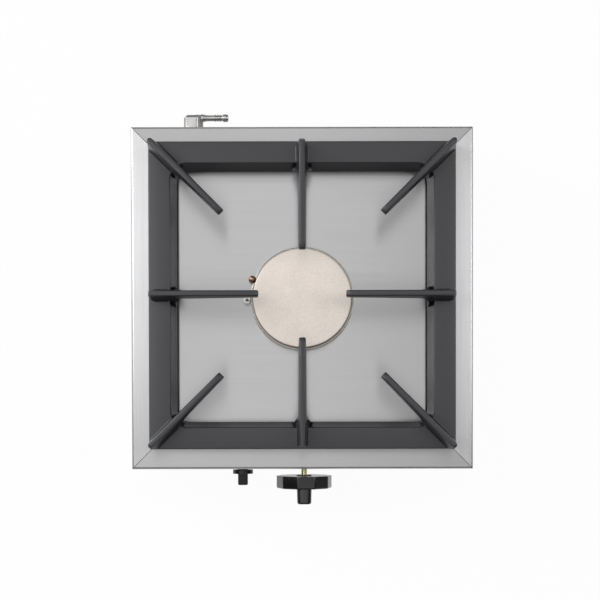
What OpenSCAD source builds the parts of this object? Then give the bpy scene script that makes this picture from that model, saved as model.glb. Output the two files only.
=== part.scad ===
// Table-top propane gas burner with one ring, cast-iron pan support and a stainless casing.
// Millimetres, Z up, the front with the knob towards -Y.
// The pieces are placed from the middle of the casing at table level, and the last
// lines move them so that the origin is the middle of the whole outline.

/* [Casing] */
// Width of the casing over its side panels
case_w = 400; // [360:5:460]
// Depth of the casing over its front and rear panels
case_d = 400; // [360:5:460]
// Height of the rim above the table
rim_h = 130; // [125:1:170]
// Thickness of the stainless panels
panel_t = 1.2; // [0.8:0.1:2]
// Outer radius of the bend between the rim and a panel
bend_r = 3; // [2.5:0.5:4]
// Width of the rim that shows outside the pan support
rim_show = 22.5; // [18:0.5:30]
// Depth of the fold at the rim's inner edge
rim_return = 10; // [5:1:11]
// Width of the fold under each panel
base_fold = 20; // [16:1:26]
// Gap left along each mitred seam
seam_gap = 0.5; // [0.2:0.1:0.7]
// Thickness of the base plate
base_t = 1; // [0.8:0.1:2]
// Length of an air slot in the side panels and the base
slot_len = 34; // [20:1:36]
// Width of an air slot
slot_w = 5; // [3:0.5:8]
// Distance between air slots
slot_pitch = 24; // [16:1:30]
// Air slots in one row
slot_n = 7; // [3:1:9]

/* [Feet] */
// Height of a rubber foot
foot_h = 20; // [15:1:25]
// Radius of a rubber foot
foot_r = 14; // [11:0.5:14]
// Distance of each foot's centre from the casing's sides
foot_in = 16; // [16:0.5:18]

/* [Drip tray] */
// Thickness of the tray
tray_t = 1; // [0.8:0.1:1.5]
// Depth of the tray below the rim
tray_depth = 12; // [10:0.5:12]
// Gap between the tray's wall and the rim's inner edge
tray_gap = 1.5; // [1:0.1:3]
// Width of the tray's lip on the rim
tray_lip = 6; // [5:0.5:6.5]
// Gap between the tray's lip and the pan support's skirt
skirt_gap = 2; // [1.6:0.1:4]
// Corner radius inside the tray
tray_corner = 12; // [8:1:20]

/* [Pan support] */
// Distance that the loose pan support sits to the rear of centre
grate_back = 1.5; // [0:0.1:1.5]
// Outer corner radius of the pan support
grate_corner = 2.5; // [2:0.5:6]
// Width of the flat band
band_w = 25.4; // [22:0.2:28]
// Height of the band's top above the rim
band_rise = 16; // [12:0.5:20]
// Thickness of the band
band_t = 6; // [4:0.5:8]
// Thickness of the skirt under the band's outer edge
skirt_t = 5; // [4:0.5:5.5]
// Inner corner radius of the band
lip_corner = 20; // [14:1:30]
// Drop of the slanted inner lip below the band's top
lip_drop = 18.5; // [14:0.5:20]
// Distance that the lip slants inwards
lip_slant = 6; // [3:0.5:10]
// Thickness of the lip
lip_t = 4.5; // [3:0.5:6]
// Height of the ribs above the band
rib_rise = 25; // [20:0.5:30]
// Width of a rib at its top
rib_w = 6.4; // [4:0.2:8]
// Draft of a rib's sides, in degrees
rib_draft = 7; // [4:0.5:9]
// Chamfer along a rib's top edges
rib_chamfer = 0.6; // [0.4:0.1:1.2]
// Distance of the four long ribs' tips from the middle
long_tip_r = 50; // [40:1:70]
// Distance of the four corner ribs' tips from the middle
short_tip_r = 130; // [110:1:150]
// Distance of the long ribs' outer ends inside the band's edge
rib_end_in = 2.5; // [1:0.5:5]
// Depth of a rib at its tip
tip_depth = 9; // [7:0.5:12]
// Depth of a rib at its root
root_depth = 14; // [12:0.5:18]
// Radius between a rib's underside and its root
root_r = 10; // [6:0.5:12]
// Length of the sloping nose at a rib's tip
nose_len = 8; // [4:0.5:12]
// Drop of that nose
nose_drop = 1; // [0.5:0.1:2]

/* [Burner] */
// Radius of the burner cap
cap_r = 57.5; // [56:0.5:59]
// Thickness of the cap at its edge
cap_t = 4.5; // [4:0.1:6]
// Rise of the cap's crown in its middle
cap_rise = 1; // [0.5:0.1:2]
// Radius of the cap's top edge
cap_edge_r = 1.2; // [0.6:0.1:1.8]
// Radius of the crown's bright flange
crown_r = 60.8; // [60:0.1:62]
// Thickness of that flange
crown_flange_t = 2.5; // [2:0.1:3.5]
// Outer radius of the ported wall
port_wall_r = 54; // [53:0.2:55]
// Thickness of the ported wall
port_wall_t = 5; // [4:0.2:6]
// Height of the ported wall above the flange
port_wall_h = 7; // [6:0.2:9]
// Flame ports round the crown
port_n = 40; // [24:2:44]
// Width of a flame port
port_w = 1.8; // [1.2:0.1:2.4]
// Depth of a flame port
port_h = 5; // [3:0.2:5.5]
// Outer radius of the burner bowl
bowl_r = 52; // [50.5:0.5:53]
// Wall of the bowl
bowl_t = 3.8; // [3:0.1:4.2]
// Height of the bowl
bowl_h = 27; // [24:1:30]
// Height of the bowl's top edge above the tray
bowl_proud = 1; // [0.5:0.1:2]
// Outer radius of the mixing tube
tube_r = 15; // [14:0.5:16]
// Wall of the mixing tube
tube_t = 3; // [2:0.2:4]
// Distance from the burner's middle to the mixing tube's mouth
tube_len = 100; // [95:1:102]
// Radius of the hole in the tray for the bowl
tray_hole_r = 56; // [54.5:0.5:57]

/* [Gas line] */
// Depth of the gas line's axis below the rim
gas_drop = 48; // [46:0.5:50]
// Distance of the tap's axis to the right of centre
tap_x = 2; // [-2:0.5:4]
// Outer radius of the tap body
tap_r = 15; // [13:0.5:17]
// Radius of the tap plug
plug_r = 7; // [6.5:0.1:8]
// Length of the tap plug
plug_len = 26; // [24:0.5:26.5]
// Radius of the spindle
spindle_r = 3.6; // [3.2:0.1:4]
// Travel of the spindle when it is pushed in
push_travel = 3.5; // [2.5:0.1:4]
// Outer radius of the supply pipe
pipe_r = 4; // [3:0.5:5]
// Bend radius of the supply pipe
pipe_bend = 20; // [14:1:30]
// Distance of the gas inlet from the casing's left side
inlet_side = 70; // [50:1:90]
// Width over the flats of the inlet elbow
elbow_af = 21; // [20.5:0.5:24]
// Distance of the elbow's closed end behind the casing
elbow_reach = 26.4; // [25:0.2:30]
// Length of the hose tail past the elbow
tail_len = 29; // [26:0.5:36]
// Radius of the hose tail between its barbs
tail_r = 3.6; // [3:0.1:4]
// Radius of the hose tail's end bead
bead_r = 4.7; // [4.4:0.1:5]

/* [Knob] */
// Radius of the knob
knob_r = 33.5; // [28:0.5:36]
// Thickness of the knob's disc
knob_t = 15.5; // [10:0.1:18]
// Gap between the casing and the knob's boss
knob_gap = 9.2; // [7:0.1:11]
// Thickness of the boss behind the disc
boss_t = 1; // [0.6:0.1:3]
// Radius of that boss
boss_r = 9.2; // [7:0.2:12]
// Width of the grip bar at its end
grip_w = 16.8; // [12:0.2:20]
// Height of the grip bar above the disc
grip_h = 17.5; // [12:0.1:24]
// Length of the grip bar
grip_len = 60; // [44:1:64]
// Flat facets round the disc
facet_n = 10; // [8:1:12]
// Turn of the facets against the grip bar, in degrees
facet_turn = 4.5; // [0:0.5:18]
// Distance that the facets stand out over a sharp-edged prism, which rounds their edges
facet_out = 0.15; // [0.05:0.05:0.5]

/* [Igniter] */
// Distance of the igniter to the left of centre
igniter_x = 72.3; // [72:0.1:90]
// Radius of the igniter's collar
collar_r = 12.2; // [11:0.1:14]
// Thickness of the collar
collar_t = 4.8; // [4.5:0.1:6]
// Distance between the casing and the collar
collar_off = 2.9; // [2.5:0.1:6]
// Width of the square push button
button_w = 11.6; // [10:0.1:12]
// Length of the button past the collar
button_len = 13.8; // [8:0.1:16]
// Travel of the button
button_travel = 3.8; // [3:0.1:4]
// Radius of the igniter's threaded barrel
barrel_r = 5.2; // [4.8:0.1:5.6]
// Radius of the igniter's body behind the panel
igniter_r = 9; // [8.5:0.5:11]
// Length of the igniter's body behind the panel
igniter_len = 33; // [31.5:0.5:35]

/* [Sensors] */
// Distance of the spark electrode's axis outside the bowl
spark_out = 12.9; // [12.4:0.1:13.4]
// Distance of the spark electrode to the front of the burner's middle
spark_y = 1.6; // [1:0.1:4]
// Radius of the electrode's ceramic
ceramic_r = 4.2; // [3.5:0.1:4.5]
// Radius of the electrode's wire
wire_r = 1.6; // [1:0.1:1.8]
// Distance of the thermocouple's axis outside the bowl
probe_out = 6.8; // [6.6:0.1:10]
// Distance of the thermocouple to the rear of the burner's middle
probe_y = 22.9; // [21.5:0.1:24]
// Radius of the thermocouple's tip
probe_r = 4.1; // [3:0.1:4.3]
// Radius of the thermocouple's lead
probe_lead_r = 1.25; // [1:0.05:1.5]
// Radius of the ignition lead
spark_lead_r = 1.5; // [1.2:0.1:2]

/* [Clearances] */
// Running clearance of a shaft in its bore
run_gap = 0.05; // [0.03:0.01:0.09]
// Clearance of a piece that drops over or into another
drop_gap = 0.6; // [0.4:0.1:0.8]
// Clearance of a sliding flat side
slide_gap = 0.1; // [0.1:0.05:0.2]

/* [Hidden] */
$fn = 64;

// Reach in front of and behind the casing, and the shift to the middle of the outline
front_reach = knob_gap + boss_t + knob_t + grip_h;
shift_y = (front_reach - elbow_reach) / 2;

// Casing
front_y = -case_d / 2;
rear_y = case_d / 2;
rim_bottom = rim_h - panel_t;
fold_top = foot_h + panel_t;
base_top = fold_top + base_t;
rim_w = rim_show + skirt_t + skirt_gap + tray_lip - tray_gap;
rim_in_w = case_w / 2 - rim_w;
rim_in_d = case_d / 2 - rim_w;

// Small fasteners
screw_r = 2;
screw_head_r = 4;
screw_head_t = 2.2;
screw_edge = 8;
base_screw_len = 6;
bracket_screw_len = 5;
bolt_r = 2.5;
bolt_head_r = 4.5;
bolt_head_t = 3;
bolt_nut_t = 4;
foot_seat = 10;
screw_spots = [-0.25, 0.25];

// Drip tray
tray_half_w = rim_in_w - tray_gap;
tray_half_d = rim_in_d - tray_gap;
tray_top = rim_h - tray_depth;

// Pan support
grate_w = case_w - 2 * rim_show;
grate_d = case_d - 2 * rim_show;
grate_s = min(grate_w, grate_d);
grate_half = grate_s / 2;
band_top = rim_h + band_rise;
band_in = grate_half - band_w;
lip_z = band_top - lip_drop;
lip_in = band_in - lip_slant;
rib_top = band_top + rib_rise;
rib_end_play = 0.5;
corner_end = (grate_half - rib_end_in) * sqrt(2) - rib_end_play;
rib_end_chamfer = 3;
rib_sink = band_t / 2;
rib_foot = 2;

// Burner
bowl_top = tray_top + bowl_proud;
bowl_bottom = bowl_top - bowl_h;
bowl_in_r = bowl_r - bowl_t;
crown_top = bowl_top + crown_flange_t;
port_top = crown_top + port_wall_h;
port_in_r = port_wall_r - port_wall_t;
cap_top = port_top + cap_t;
spigot_r = bowl_in_r - drop_gap;
spigot_t = 3;
spigot_h = 8;
cap_lug_h = 5;
cap_lug_w = 4;
cap_lug_l = 4.4;
cap_lug_n = 3;
gas_z = rim_h - gas_drop;
neck_r = tube_r + 5;
neck_floor = 3;
neck_bottom = gas_z - tube_r - neck_floor;
bracket_t = 2;
bracket_x = 46;
bracket_boss_x = 36;
bracket_boss_r = 6;
bracket_top = bowl_bottom - 8;
bracket_depth = 30;
bracket_foot = 20;

// Tap, from the front panel rearwards
tap_bracket_y = front_y + panel_t + 8.8;
tap_bracket_half = 26;
tap_bracket_rise = 14;
tap_foot_len = 24;
tap_foot_screw_x = 16;
tap_foot_screw_y = 15;
bonnet_y = tap_bracket_y + bracket_t;
bonnet_t = 6;
tap_y = bonnet_y + bonnet_t;
collar_y = tap_y + 0.3;
spindle_collar_t = 1.5;
spindle_collar_r = 6;
spring_len = 8.2;
plug_y = collar_y + spindle_collar_t + spring_len;
plug_end = plug_y + plug_len;
tap_wall = 7;
tap_end = plug_end + tap_wall;
outlet_r = 8;
outlet_len = 12;
outlet_end = tap_end + outlet_len;
gas_way_r = 3;
tongue_w = 2.8;
tongue_h = 8.4;
tongue_end = plug_y + 7;
port_back = 15;
magnet_back = 20;
port_y = plug_y + port_back;
magnet_y = plug_y + magnet_back;
magnet_boss_r = 9;
magnet_boss_end = gas_z - tap_r - 9;
magnet_stem_r = 5;
magnet_body_r = 7;
magnet_body_h = 9;
ear_w = 20;
ear_h = 7;
ear_t = 10;
ear_screw_x = 16.5;
inlet_boss_len = 30;
inlet_boss_r = 8;
nut_grip = 8;
pipe_nut_af = 20;
tap_left = tap_x - inlet_boss_len;

// Injector and air shutter
injector_af = 12;
injector_hex_end = outlet_end + 6;
injector_end = outlet_end + 14;
injector_r = 3;
jet_r = 0.5;
tube_mouth = -tube_len;
shutter_r = tube_r + 2.2;
shutter_len = 24;
shutter_lap = 14;
shutter_t = 2;
shutter_travel = 6;
shutter_y = tube_mouth + shutter_lap - shutter_len;
shutter_hole_r = 9;
shutter_screw_y = shutter_y + shutter_len - 6;
window_y = shutter_y + shutter_len + 2;
window_len = 10;
window_h = 10;

// Supply pipe and inlet
inlet_x = case_w / 2 - inlet_side;
pipe_rear = rear_y - panel_t - 14;
fitting_stub_r = 8;
fitting_hex_af = 24;
fitting_hex_t = 6.8;
thread_r = 8.8;
inlet_nut_af = 27;
inlet_nut_t = 5;
elbow_y = rear_y + 6;
elbow_end = rear_y + elbow_reach;
elbow_socket = 9;
elbow_round = 6;
tail_y = elbow_end - 4;
tail_bore = 2.2;
barb_n = 3;
barb_pitch = 3.2;
barb_rise = 0.5;
tail_neck = 3;
bead_len = 7;

// Knob
knob_y = front_y - knob_gap;
spindle_tip = knob_y - boss_t - knob_t - 4;
knob_round = 2;
knob_back_round = 1;
knob_dome = 0.3;
facet_in = knob_r * cos(180 / facet_n) + facet_out;
grip_chamfer = 2.4;
grip_draft = 0.4;
grip_root = 1.2;
spindle_flat = spindle_r - 1;

// Igniter
barrel_end = front_y - collar_off - 0.2;
collar_face = front_y - collar_off - collar_t;
button_back = barrel_end - button_travel - 0.2;
button_round = 1.6;
stem_r = 3;
stop_y = front_y + 4;
stop_t = 1.5;
stop_r = 4.5;
chamber_r = 5;
chamber_len = 30;
chamber_end = front_y + chamber_len;
hub_wall = 0.9;
igniter_end = front_y + panel_t + igniter_len;

// Sensors
spark_x = bowl_r + spark_out;
probe_x = bowl_r + probe_out;
sensor_z = bowl_bottom + 8;
sensor_t = 1.5;
sensor_top = sensor_z + sensor_t;
sensor_out = spark_x + 10;
sensor_front = -spark_y - 10;
sensor_rear = probe_y + 10;
lug_y = 10;
lug_w = 12;
lug_x = bowl_r + 4;
sensor_hub_h = 5;
sensor_hub_wall = 1.6;
ceramic_top = crown_top + 2.5;
ceramic_bottom = sensor_z - 14;
wire_top = port_top - 1;
wire_bottom = ceramic_bottom - 6;
probe_top = port_top - 1;
probe_bottom = sensor_z - 12;
lead_floor = base_top + 7;
lead_bend = 5;
spark_drop = 26;
spark_level = ceramic_bottom - spark_drop;
spark_bend = 3.2;
spark_exit_y = igniter_end - 3;
spark_exit_z = gas_z - 5;

// Boxes and round bars

module box_between(low, high) {
    translate(low) cube(high - low);
}

module bar_y(r, y0, y1) {
    translate([0, y0, 0]) rotate([-90, 0, 0]) cylinder(r = r, h = y1 - y0);
}

module bar_x(r, x0, x1) {
    translate([x0, 0, 0]) rotate([0, 90, 0]) cylinder(r = r, h = x1 - x0);
}

module bar_z(r, z0, z1) {
    translate([0, 0, z0]) cylinder(r = r, h = z1 - z0);
}

module hex_y(af, y0, y1) {
    translate([0, y0, 0]) rotate([-90, 0, 0])
        cylinder(r = af / 2 / cos(30), h = y1 - y0, $fn = 6);
}

module hex_x(af, x0, x1) {
    translate([x0, 0, 0]) rotate([0, 90, 0]) rotate([0, 0, 30])
        cylinder(r = af / 2 / cos(30), h = x1 - x0, $fn = 6);
}

// Rectangle with round corners, centred
module round_rect(w, d, r) {
    square([w - 2 * r, d], center = true);
    square([w, d - 2 * r], center = true);
    for (sx = [-1, 1])
        for (sy = [-1, 1])
            translate([sx * (w / 2 - r), sy * (d / 2 - r)]) circle(r = r);
}

module round_block(w, d, r, z0, z1) {
    translate([0, 0, z0]) linear_extrude(z1 - z0) round_rect(w, d, r);
}

// Pan-head screw pointing along +Z, with the underside of its head at z = 0
module screw(r, head_r, head_t, len) {
    rotate_extrude() polygon([
        [0, -head_t], [head_r * 0.6, -head_t], [head_r, -head_t * 0.45],
        [head_r, 0], [r, 0], [r, len], [0, len]
    ]);
}

// Quarter bend of a round bar from direction a to direction b, round corner point p
module quarter_bend(p, a, b, r, bend) {
    c = p - a * bend + b * bend;
    n = cross(-b, a);
    multmatrix([
        [-b[0], a[0], n[0], c[0]],
        [-b[1], a[1], n[1], c[1]],
        [-b[2], a[2], n[2], c[2]],
        [0, 0, 0, 1]
    ])
        rotate_extrude(angle = 90) translate([bend, 0]) circle(r = r, $fn = 32);
}

// Straight round bar between two points that differ along one axis
module straight(p, q, r) {
    low = [min(p[0], q[0]), min(p[1], q[1]), min(p[2], q[2])];
    len = norm(q - p);
    d = (q - p) / len;
    turn = abs(d[0]) > 0.5 ? [0, 90, 0] : abs(d[1]) > 0.5 ? [-90, 0, 0] : [0, 0, 0];
    translate(low) rotate(turn) cylinder(r = r, h = len, $fn = 32);
}

// Round bar along square corners, each eased to one bend radius
module bent_bar(points, r, bend) {
    last = len(points) - 1;
    for (i = [0 : last - 1]) {
        d = (points[i + 1] - points[i]) / norm(points[i + 1] - points[i]);
        from = i == 0 ? points[0] : points[i] + d * bend;
        to = i + 1 == last ? points[last] : points[i + 1] - d * bend;
        straight(from, to, r);
        if (i + 1 < last) {
            e = (points[i + 2] - points[i + 1]) / norm(points[i + 2] - points[i + 1]);
            quarter_bend(points[i + 1], d, e, r, bend);
        }
    }
}

// Casing

// Section of a panel: x is the distance inwards from its outer face
module panel_section() {
    translate([0, foot_h]) square([panel_t, rim_h - bend_r - foot_h]);
    translate([bend_r, rim_bottom]) square([rim_w - bend_r, panel_t]);
    translate([rim_w - panel_t, rim_h - rim_return]) square([panel_t, rim_return]);
    translate([0, foot_h]) square([base_fold, panel_t]);
    translate([bend_r, rim_h - bend_r]) intersection() {
        difference() {
            circle(r = bend_r);
            circle(r = bend_r - panel_t);
        }
        translate([-bend_r, 0]) square(bend_r);
    }
}

// Panel along X with its outer face at y = 0 and mitred ends
module panel_blank(len) {
    end = len / 2 - seam_gap * sqrt(2) / 2;
    intersection() {
        translate([-len / 2, 0, 0]) rotate([90, 0, 90]) linear_extrude(len) panel_section();
        linear_extrude(rim_h + 1) polygon([
            [-end, 0], [end, 0], [end - rim_w - 1, rim_w + 1], [-end + rim_w + 1, rim_w + 1]
        ]);
    }
}

module fold_holes(len) {
    for (k = screw_spots)
        translate([k * len, base_fold - screw_edge, foot_h - 1])
            cylinder(r = screw_r + run_gap, h = panel_t + 2);
    for (s = [-1, 1])
        translate([s * (len / 2 - foot_in), foot_in, foot_h - 1])
            cylinder(r = bolt_r + run_gap, h = panel_t + 2);
}

module panel_slots() {
    slot_low = base_top + 8;
    for (i = [0 : slot_n - 1])
        translate([(i - (slot_n - 1) / 2) * slot_pitch, 0, slot_low + slot_len / 2])
            rotate([90, 0, 0]) translate([0, 0, -panel_t - 1]) linear_extrude(2 * panel_t + 2)
                round_rect(slot_w, slot_len, slot_w / 2 - 0.1);
}

module front_panel() {
    color([0.78, 0.78, 0.79]) difference() {
        translate([0, front_y, 0]) panel_blank(case_w);
        translate([0, front_y, 0]) fold_holes(case_w);
        translate([tap_x, 0, gas_z]) bar_y(spindle_r + 2, front_y - 1, front_y + panel_t + 1);
        translate([-igniter_x, 0, gas_z]) bar_y(barrel_r + 0.2, front_y - 1, front_y + panel_t + 1);
    }
}

module rear_panel() {
    color([0.78, 0.78, 0.79]) difference() {
        rotate([0, 0, 180]) translate([0, -rear_y, 0]) panel_blank(case_w);
        rotate([0, 0, 180]) translate([0, -rear_y, 0]) fold_holes(case_w);
        translate([-inlet_x, 0, gas_z]) bar_y(thread_r + 0.2, rear_y - panel_t - 1, rear_y + 1);
    }
}

module side_panel(turn) {
    difference() {
        rotate([0, 0, turn]) translate([0, -case_w / 2, 0]) panel_blank(case_d);
        rotate([0, 0, turn]) translate([0, -case_w / 2, 0]) fold_holes(case_d);
        rotate([0, 0, turn]) translate([0, -case_w / 2, 0]) panel_slots();
    }
}

module left_panel() {
    color([0.78, 0.78, 0.79]) side_panel(-90);
}

module right_panel() {
    color([0.78, 0.78, 0.79]) side_panel(90);
}

// Places of the base screws, as [x, y]
function base_screw_points() = [
    for (k = screw_spots) each [
        [k * case_w, front_y + base_fold - screw_edge], [k * case_w, rear_y - base_fold + screw_edge],
        [-case_w / 2 + base_fold - screw_edge, k * case_d],
        [case_w / 2 - base_fold + screw_edge, k * case_d]
    ]
];

// Places of the feet, as [x, y]
function foot_points() = [
    for (sx = [-1, 1]) for (sy = [-1, 1])
        [sx * (case_w / 2 - foot_in), sy * (case_d / 2 - foot_in)]
];

// Places of the screws that hold brackets to the base, as [x, y]
function bracket_points() = [
    [-bracket_x - bracket_foot / 2, 0], [bracket_x + bracket_foot / 2, 0],
    [tap_x - tap_foot_screw_x, tap_bracket_y + tap_foot_screw_y],
    [tap_x + tap_foot_screw_x, tap_bracket_y + tap_foot_screw_y]
];

module base_plate() {
    edge = panel_t + seam_gap;
    color([0.62, 0.63, 0.64]) difference() {
        box_between([-case_w / 2 + edge, front_y + edge, fold_top],
                    [case_w / 2 - edge, rear_y - edge, base_top]);
        for (p = base_screw_points())
            translate([p[0], p[1], 0]) bar_z(screw_r + run_gap, fold_top - 1, base_top + 1);
        for (p = bracket_points())
            translate([p[0], p[1], 0]) bar_z(screw_r + run_gap, fold_top - 1, base_top + 1);
        for (p = foot_points())
            translate([p[0], p[1], 0]) bar_z(bolt_r + run_gap, fold_top - 1, base_top + 1);
        for (sy = [-1, 1])
            for (i = [0 : slot_n - 1])
                translate([(i - (slot_n - 1) / 2) * slot_pitch, sy * case_d / 4, 0])
                    round_block(slot_w, slot_len, slot_w / 2 - 0.1, fold_top - 1, base_top + 1);
    }
}

module base_screws() {
    color([0.7, 0.7, 0.72])
        for (p = base_screw_points())
            translate([p[0], p[1], foot_h]) screw(screw_r, screw_head_r, screw_head_t, base_screw_len);
}

module foot(sx, sy) {
    color([0.12, 0.12, 0.12])
        translate([sx * (case_w / 2 - foot_in), sy * (case_d / 2 - foot_in), 0])
            rotate_extrude() polygon([
                [bolt_head_r + 0.6, 0], [foot_r - 1, 0], [foot_r - 0.3, 0.8], [foot_r, foot_h - 1],
                [foot_r - 1, foot_h], [bolt_r + run_gap, foot_h], [bolt_r + run_gap, foot_seat],
                [bolt_head_r + 0.6, foot_seat]
            ]);
}

module foot_front_left() {
    foot(-1, -1);
}

module foot_front_right() {
    foot(1, -1);
}

module foot_rear_left() {
    foot(-1, 1);
}

module foot_rear_right() {
    foot(1, 1);
}

module foot_bolts() {
    color([0.7, 0.7, 0.72])
        for (p = foot_points())
            translate([p[0], p[1], 0]) {
                translate([0, 0, foot_seat])
                    screw(bolt_r, bolt_head_r, bolt_head_t, base_top + bolt_nut_t + 1 - foot_seat);
                difference() {
                    translate([0, 0, base_top]) cylinder(r = bolt_head_r, h = bolt_nut_t, $fn = 6);
                    bar_z(bolt_r + run_gap, base_top - 1, base_top + bolt_nut_t + 1);
                }
            }
}

// Drip tray

module drip_tray() {
    lip_w = 2 * (tray_half_w + tray_lip);
    lip_d = 2 * (tray_half_d + tray_lip);
    out_w = 2 * tray_half_w;
    out_d = 2 * tray_half_d;
    in_w = out_w - 2 * tray_t;
    in_d = out_d - 2 * tray_t;
    color([0.8, 0.8, 0.8]) difference() {
        union() {
            round_block(lip_w, lip_d, tray_corner + tray_lip, rim_h, rim_h + tray_t);
            round_block(out_w, out_d, tray_corner + tray_t, tray_top - tray_t, rim_h + tray_t);
        }
        round_block(in_w, in_d, tray_corner, tray_top, rim_h + tray_t + 1);
        bar_z(tray_hole_r, tray_top - tray_t - 1, tray_top + 1);
        translate([-spark_x, -spark_y, 0])
            bar_z(ceramic_r + drop_gap / 2, tray_top - tray_t - 1, tray_top + 1);
        translate([-probe_x, probe_y, 0])
            bar_z(probe_r + drop_gap / 2, tray_top - tray_t - 1, tray_top + 1);
    }
}

// Pan support

// Section of the slanted lip: x is measured outwards from the band's inner edge
module lip_section() {
    polygon([
        [0, band_top], [lip_t, band_top], [lip_t - lip_slant, lip_z], [-lip_slant, lip_z]
    ]);
}

// Lip along one side, at the distance out from the middle, with the corner at its end
module lip_side(out, half_len) {
    side = half_len - lip_corner;
    translate([out, side, 0]) rotate([90, 0, 0]) linear_extrude(2 * side) lip_section();
    translate([out - lip_corner, side, 0]) rotate_extrude(angle = 90)
        translate([lip_corner, 0]) lip_section();
}

module band_and_lip() {
    in_w = grate_w / 2 - band_w;
    in_d = grate_d / 2 - band_w;
    difference() {
        round_block(grate_w, grate_d, grate_corner, band_top - band_t, band_top);
        round_block(2 * in_w, 2 * in_d, lip_corner, band_top - band_t - 1, band_top + 1);
    }
    for (a = [0, 180]) {
        rotate([0, 0, a]) lip_side(in_w, in_d);
        rotate([0, 0, a + 90]) lip_side(in_d, in_w);
    }
}

module skirt() {
    difference() {
        round_block(grate_w, grate_d, grate_corner, rim_h, band_top);
        round_block(grate_w - 2 * skirt_t, grate_d - 2 * skirt_t, grate_corner, rim_h - 1, band_top + 1);
    }
}

// Side outline of a rib from its tip to its outer end, with its root against the lip
module rib_side(tip, end, root) {
    under = rib_top - root_depth;
    polygon(concat(
        [
            [end, band_top - rib_sink], [end, rib_top - rib_end_chamfer],
            [end - rib_end_chamfer, rib_top], [tip + nose_len, rib_top],
            [tip, rib_top - nose_drop], [tip, rib_top - tip_depth]
        ],
        [for (a = [90 : -15 : 0]) [root - root_r + root_r * cos(a), under - root_r + root_r * sin(a)]],
        [
            [root, lip_z + rib_foot], [root + lip_t / 2, lip_z + rib_foot],
            [root + lip_slant + 1, band_top - rib_sink]
        ]
    ));
}

// Cross section of a rib, drafted outwards towards its foot
module rib_section() {
    half = rib_w / 2;
    foot = half + (rib_top - lip_z) * tan(rib_draft);
    polygon([
        [-half + rib_chamfer, rib_top], [half - rib_chamfer, rib_top], [half, rib_top - rib_chamfer],
        [foot, lip_z], [-foot, lip_z], [-half, rib_top - rib_chamfer]
    ]);
}

// Rib along +X
module rib(tip, end, root) {
    reach = (rib_top - lip_z) * tan(rib_draft) + rib_w;
    intersection() {
        translate([0, reach, 0]) rotate([90, 0, 0]) linear_extrude(2 * reach) rib_side(tip, end, root);
        rotate([90, 0, 90]) linear_extrude(end + 1) rib_section();
    }
}

// Plan of a short rib, round at its outer end
module short_plan() {
    r = rib_w / 2 + (rib_top - band_top) * tan(rib_draft);
    wide = r + rib_w / 2;
    polygon(concat(
        [[0, wide], [0, -wide], [corner_end - 2 * r, -wide]],
        [for (a = [-75 : 15 : 75]) [corner_end - r + r * cos(a), r * sin(a)]],
        [[corner_end - 2 * r, wide]]
    ));
}

// Long rib that ends at a side of the pan support, at the distance half from the middle
module long_rib(half) {
    rib(long_tip_r, half - rib_end_in, half - band_w - lip_slant);
}

module pan_support() {
    corner_root = (lip_in - lip_corner + lip_slant) * sqrt(2) + lip_corner - lip_slant;
    color([0.3, 0.3, 0.32]) translate([0, grate_back, 0]) {
        band_and_lip();
        skirt();
        for (a = [0, 180]) {
            rotate([0, 0, a]) long_rib(grate_w / 2);
            rotate([0, 0, a + 90]) long_rib(grate_d / 2);
        }
        intersection() {
            for (sx = [-1, 1])
                for (sy = [-1, 1])
                    translate([sx * (grate_w - grate_s) / 2, sy * (grate_d - grate_s) / 2, 0])
                        rotate([0, 0, 90 - sx * 90 + sx * sy * 45]) intersection() {
                            rib(short_tip_r, corner_end, corner_root);
                            linear_extrude(rib_top + 1) short_plan();
                        }
            round_block(grate_w, grate_d, grate_corner, rim_h, rib_top + 1);
        }
    }
}

// Burner

module burner_cap() {
    edge_top = cap_top - cap_rise;
    color([0.87, 0.83, 0.79]) {
        rotate_extrude($fn = 96) polygon(concat(
            [[0, port_top], [cap_r - 0.6, port_top], [cap_r, port_top + 0.6]],
            [for (a = [0 : 30 : 90])
                [cap_r - cap_edge_r + cap_edge_r * cos(a), edge_top - cap_edge_r + cap_edge_r * sin(a)]],
            [for (f = [0.8, 0.6, 0.4, 0.2, 0]) [f * (cap_r - cap_edge_r), cap_top - cap_rise * f * f]]
        ));
        for (i = [0 : cap_lug_n - 1])
            rotate([0, 0, 30 + i * 360 / cap_lug_n])
                box_between([port_in_r - drop_gap - cap_lug_l, -cap_lug_w / 2, port_top - cap_lug_h],
                            [port_in_r - drop_gap, cap_lug_w / 2, port_top + 0.5]);
    }
}

module burner_crown() {
    bore = spigot_r - spigot_t;
    color([0.72, 0.72, 0.72]) difference() {
        union() {
            bar_z(crown_r, bowl_top, crown_top);
            bar_z(port_wall_r, bowl_top, port_top);
            bar_z(spigot_r, bowl_top - spigot_h, bowl_top + 1);
        }
        bar_z(bore, bowl_top - spigot_h - 1, port_top + 1);
        bar_z(port_in_r, crown_top, port_top + 1);
        for (i = [0 : port_n - 1])
            rotate([0, 0, i * 360 / port_n])
                box_between([port_in_r - 2, -port_w / 2, port_top - port_h],
                            [port_wall_r + 2, port_w / 2, port_top + 1]);
        translate([-spark_x, -spark_y, 0]) bar_z(ceramic_r + drop_gap, bowl_top - 1, crown_top + 1);
        translate([-probe_x, probe_y, 0]) bar_z(probe_r + drop_gap, bowl_top - 1, crown_top + 1);
    }
}

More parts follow.
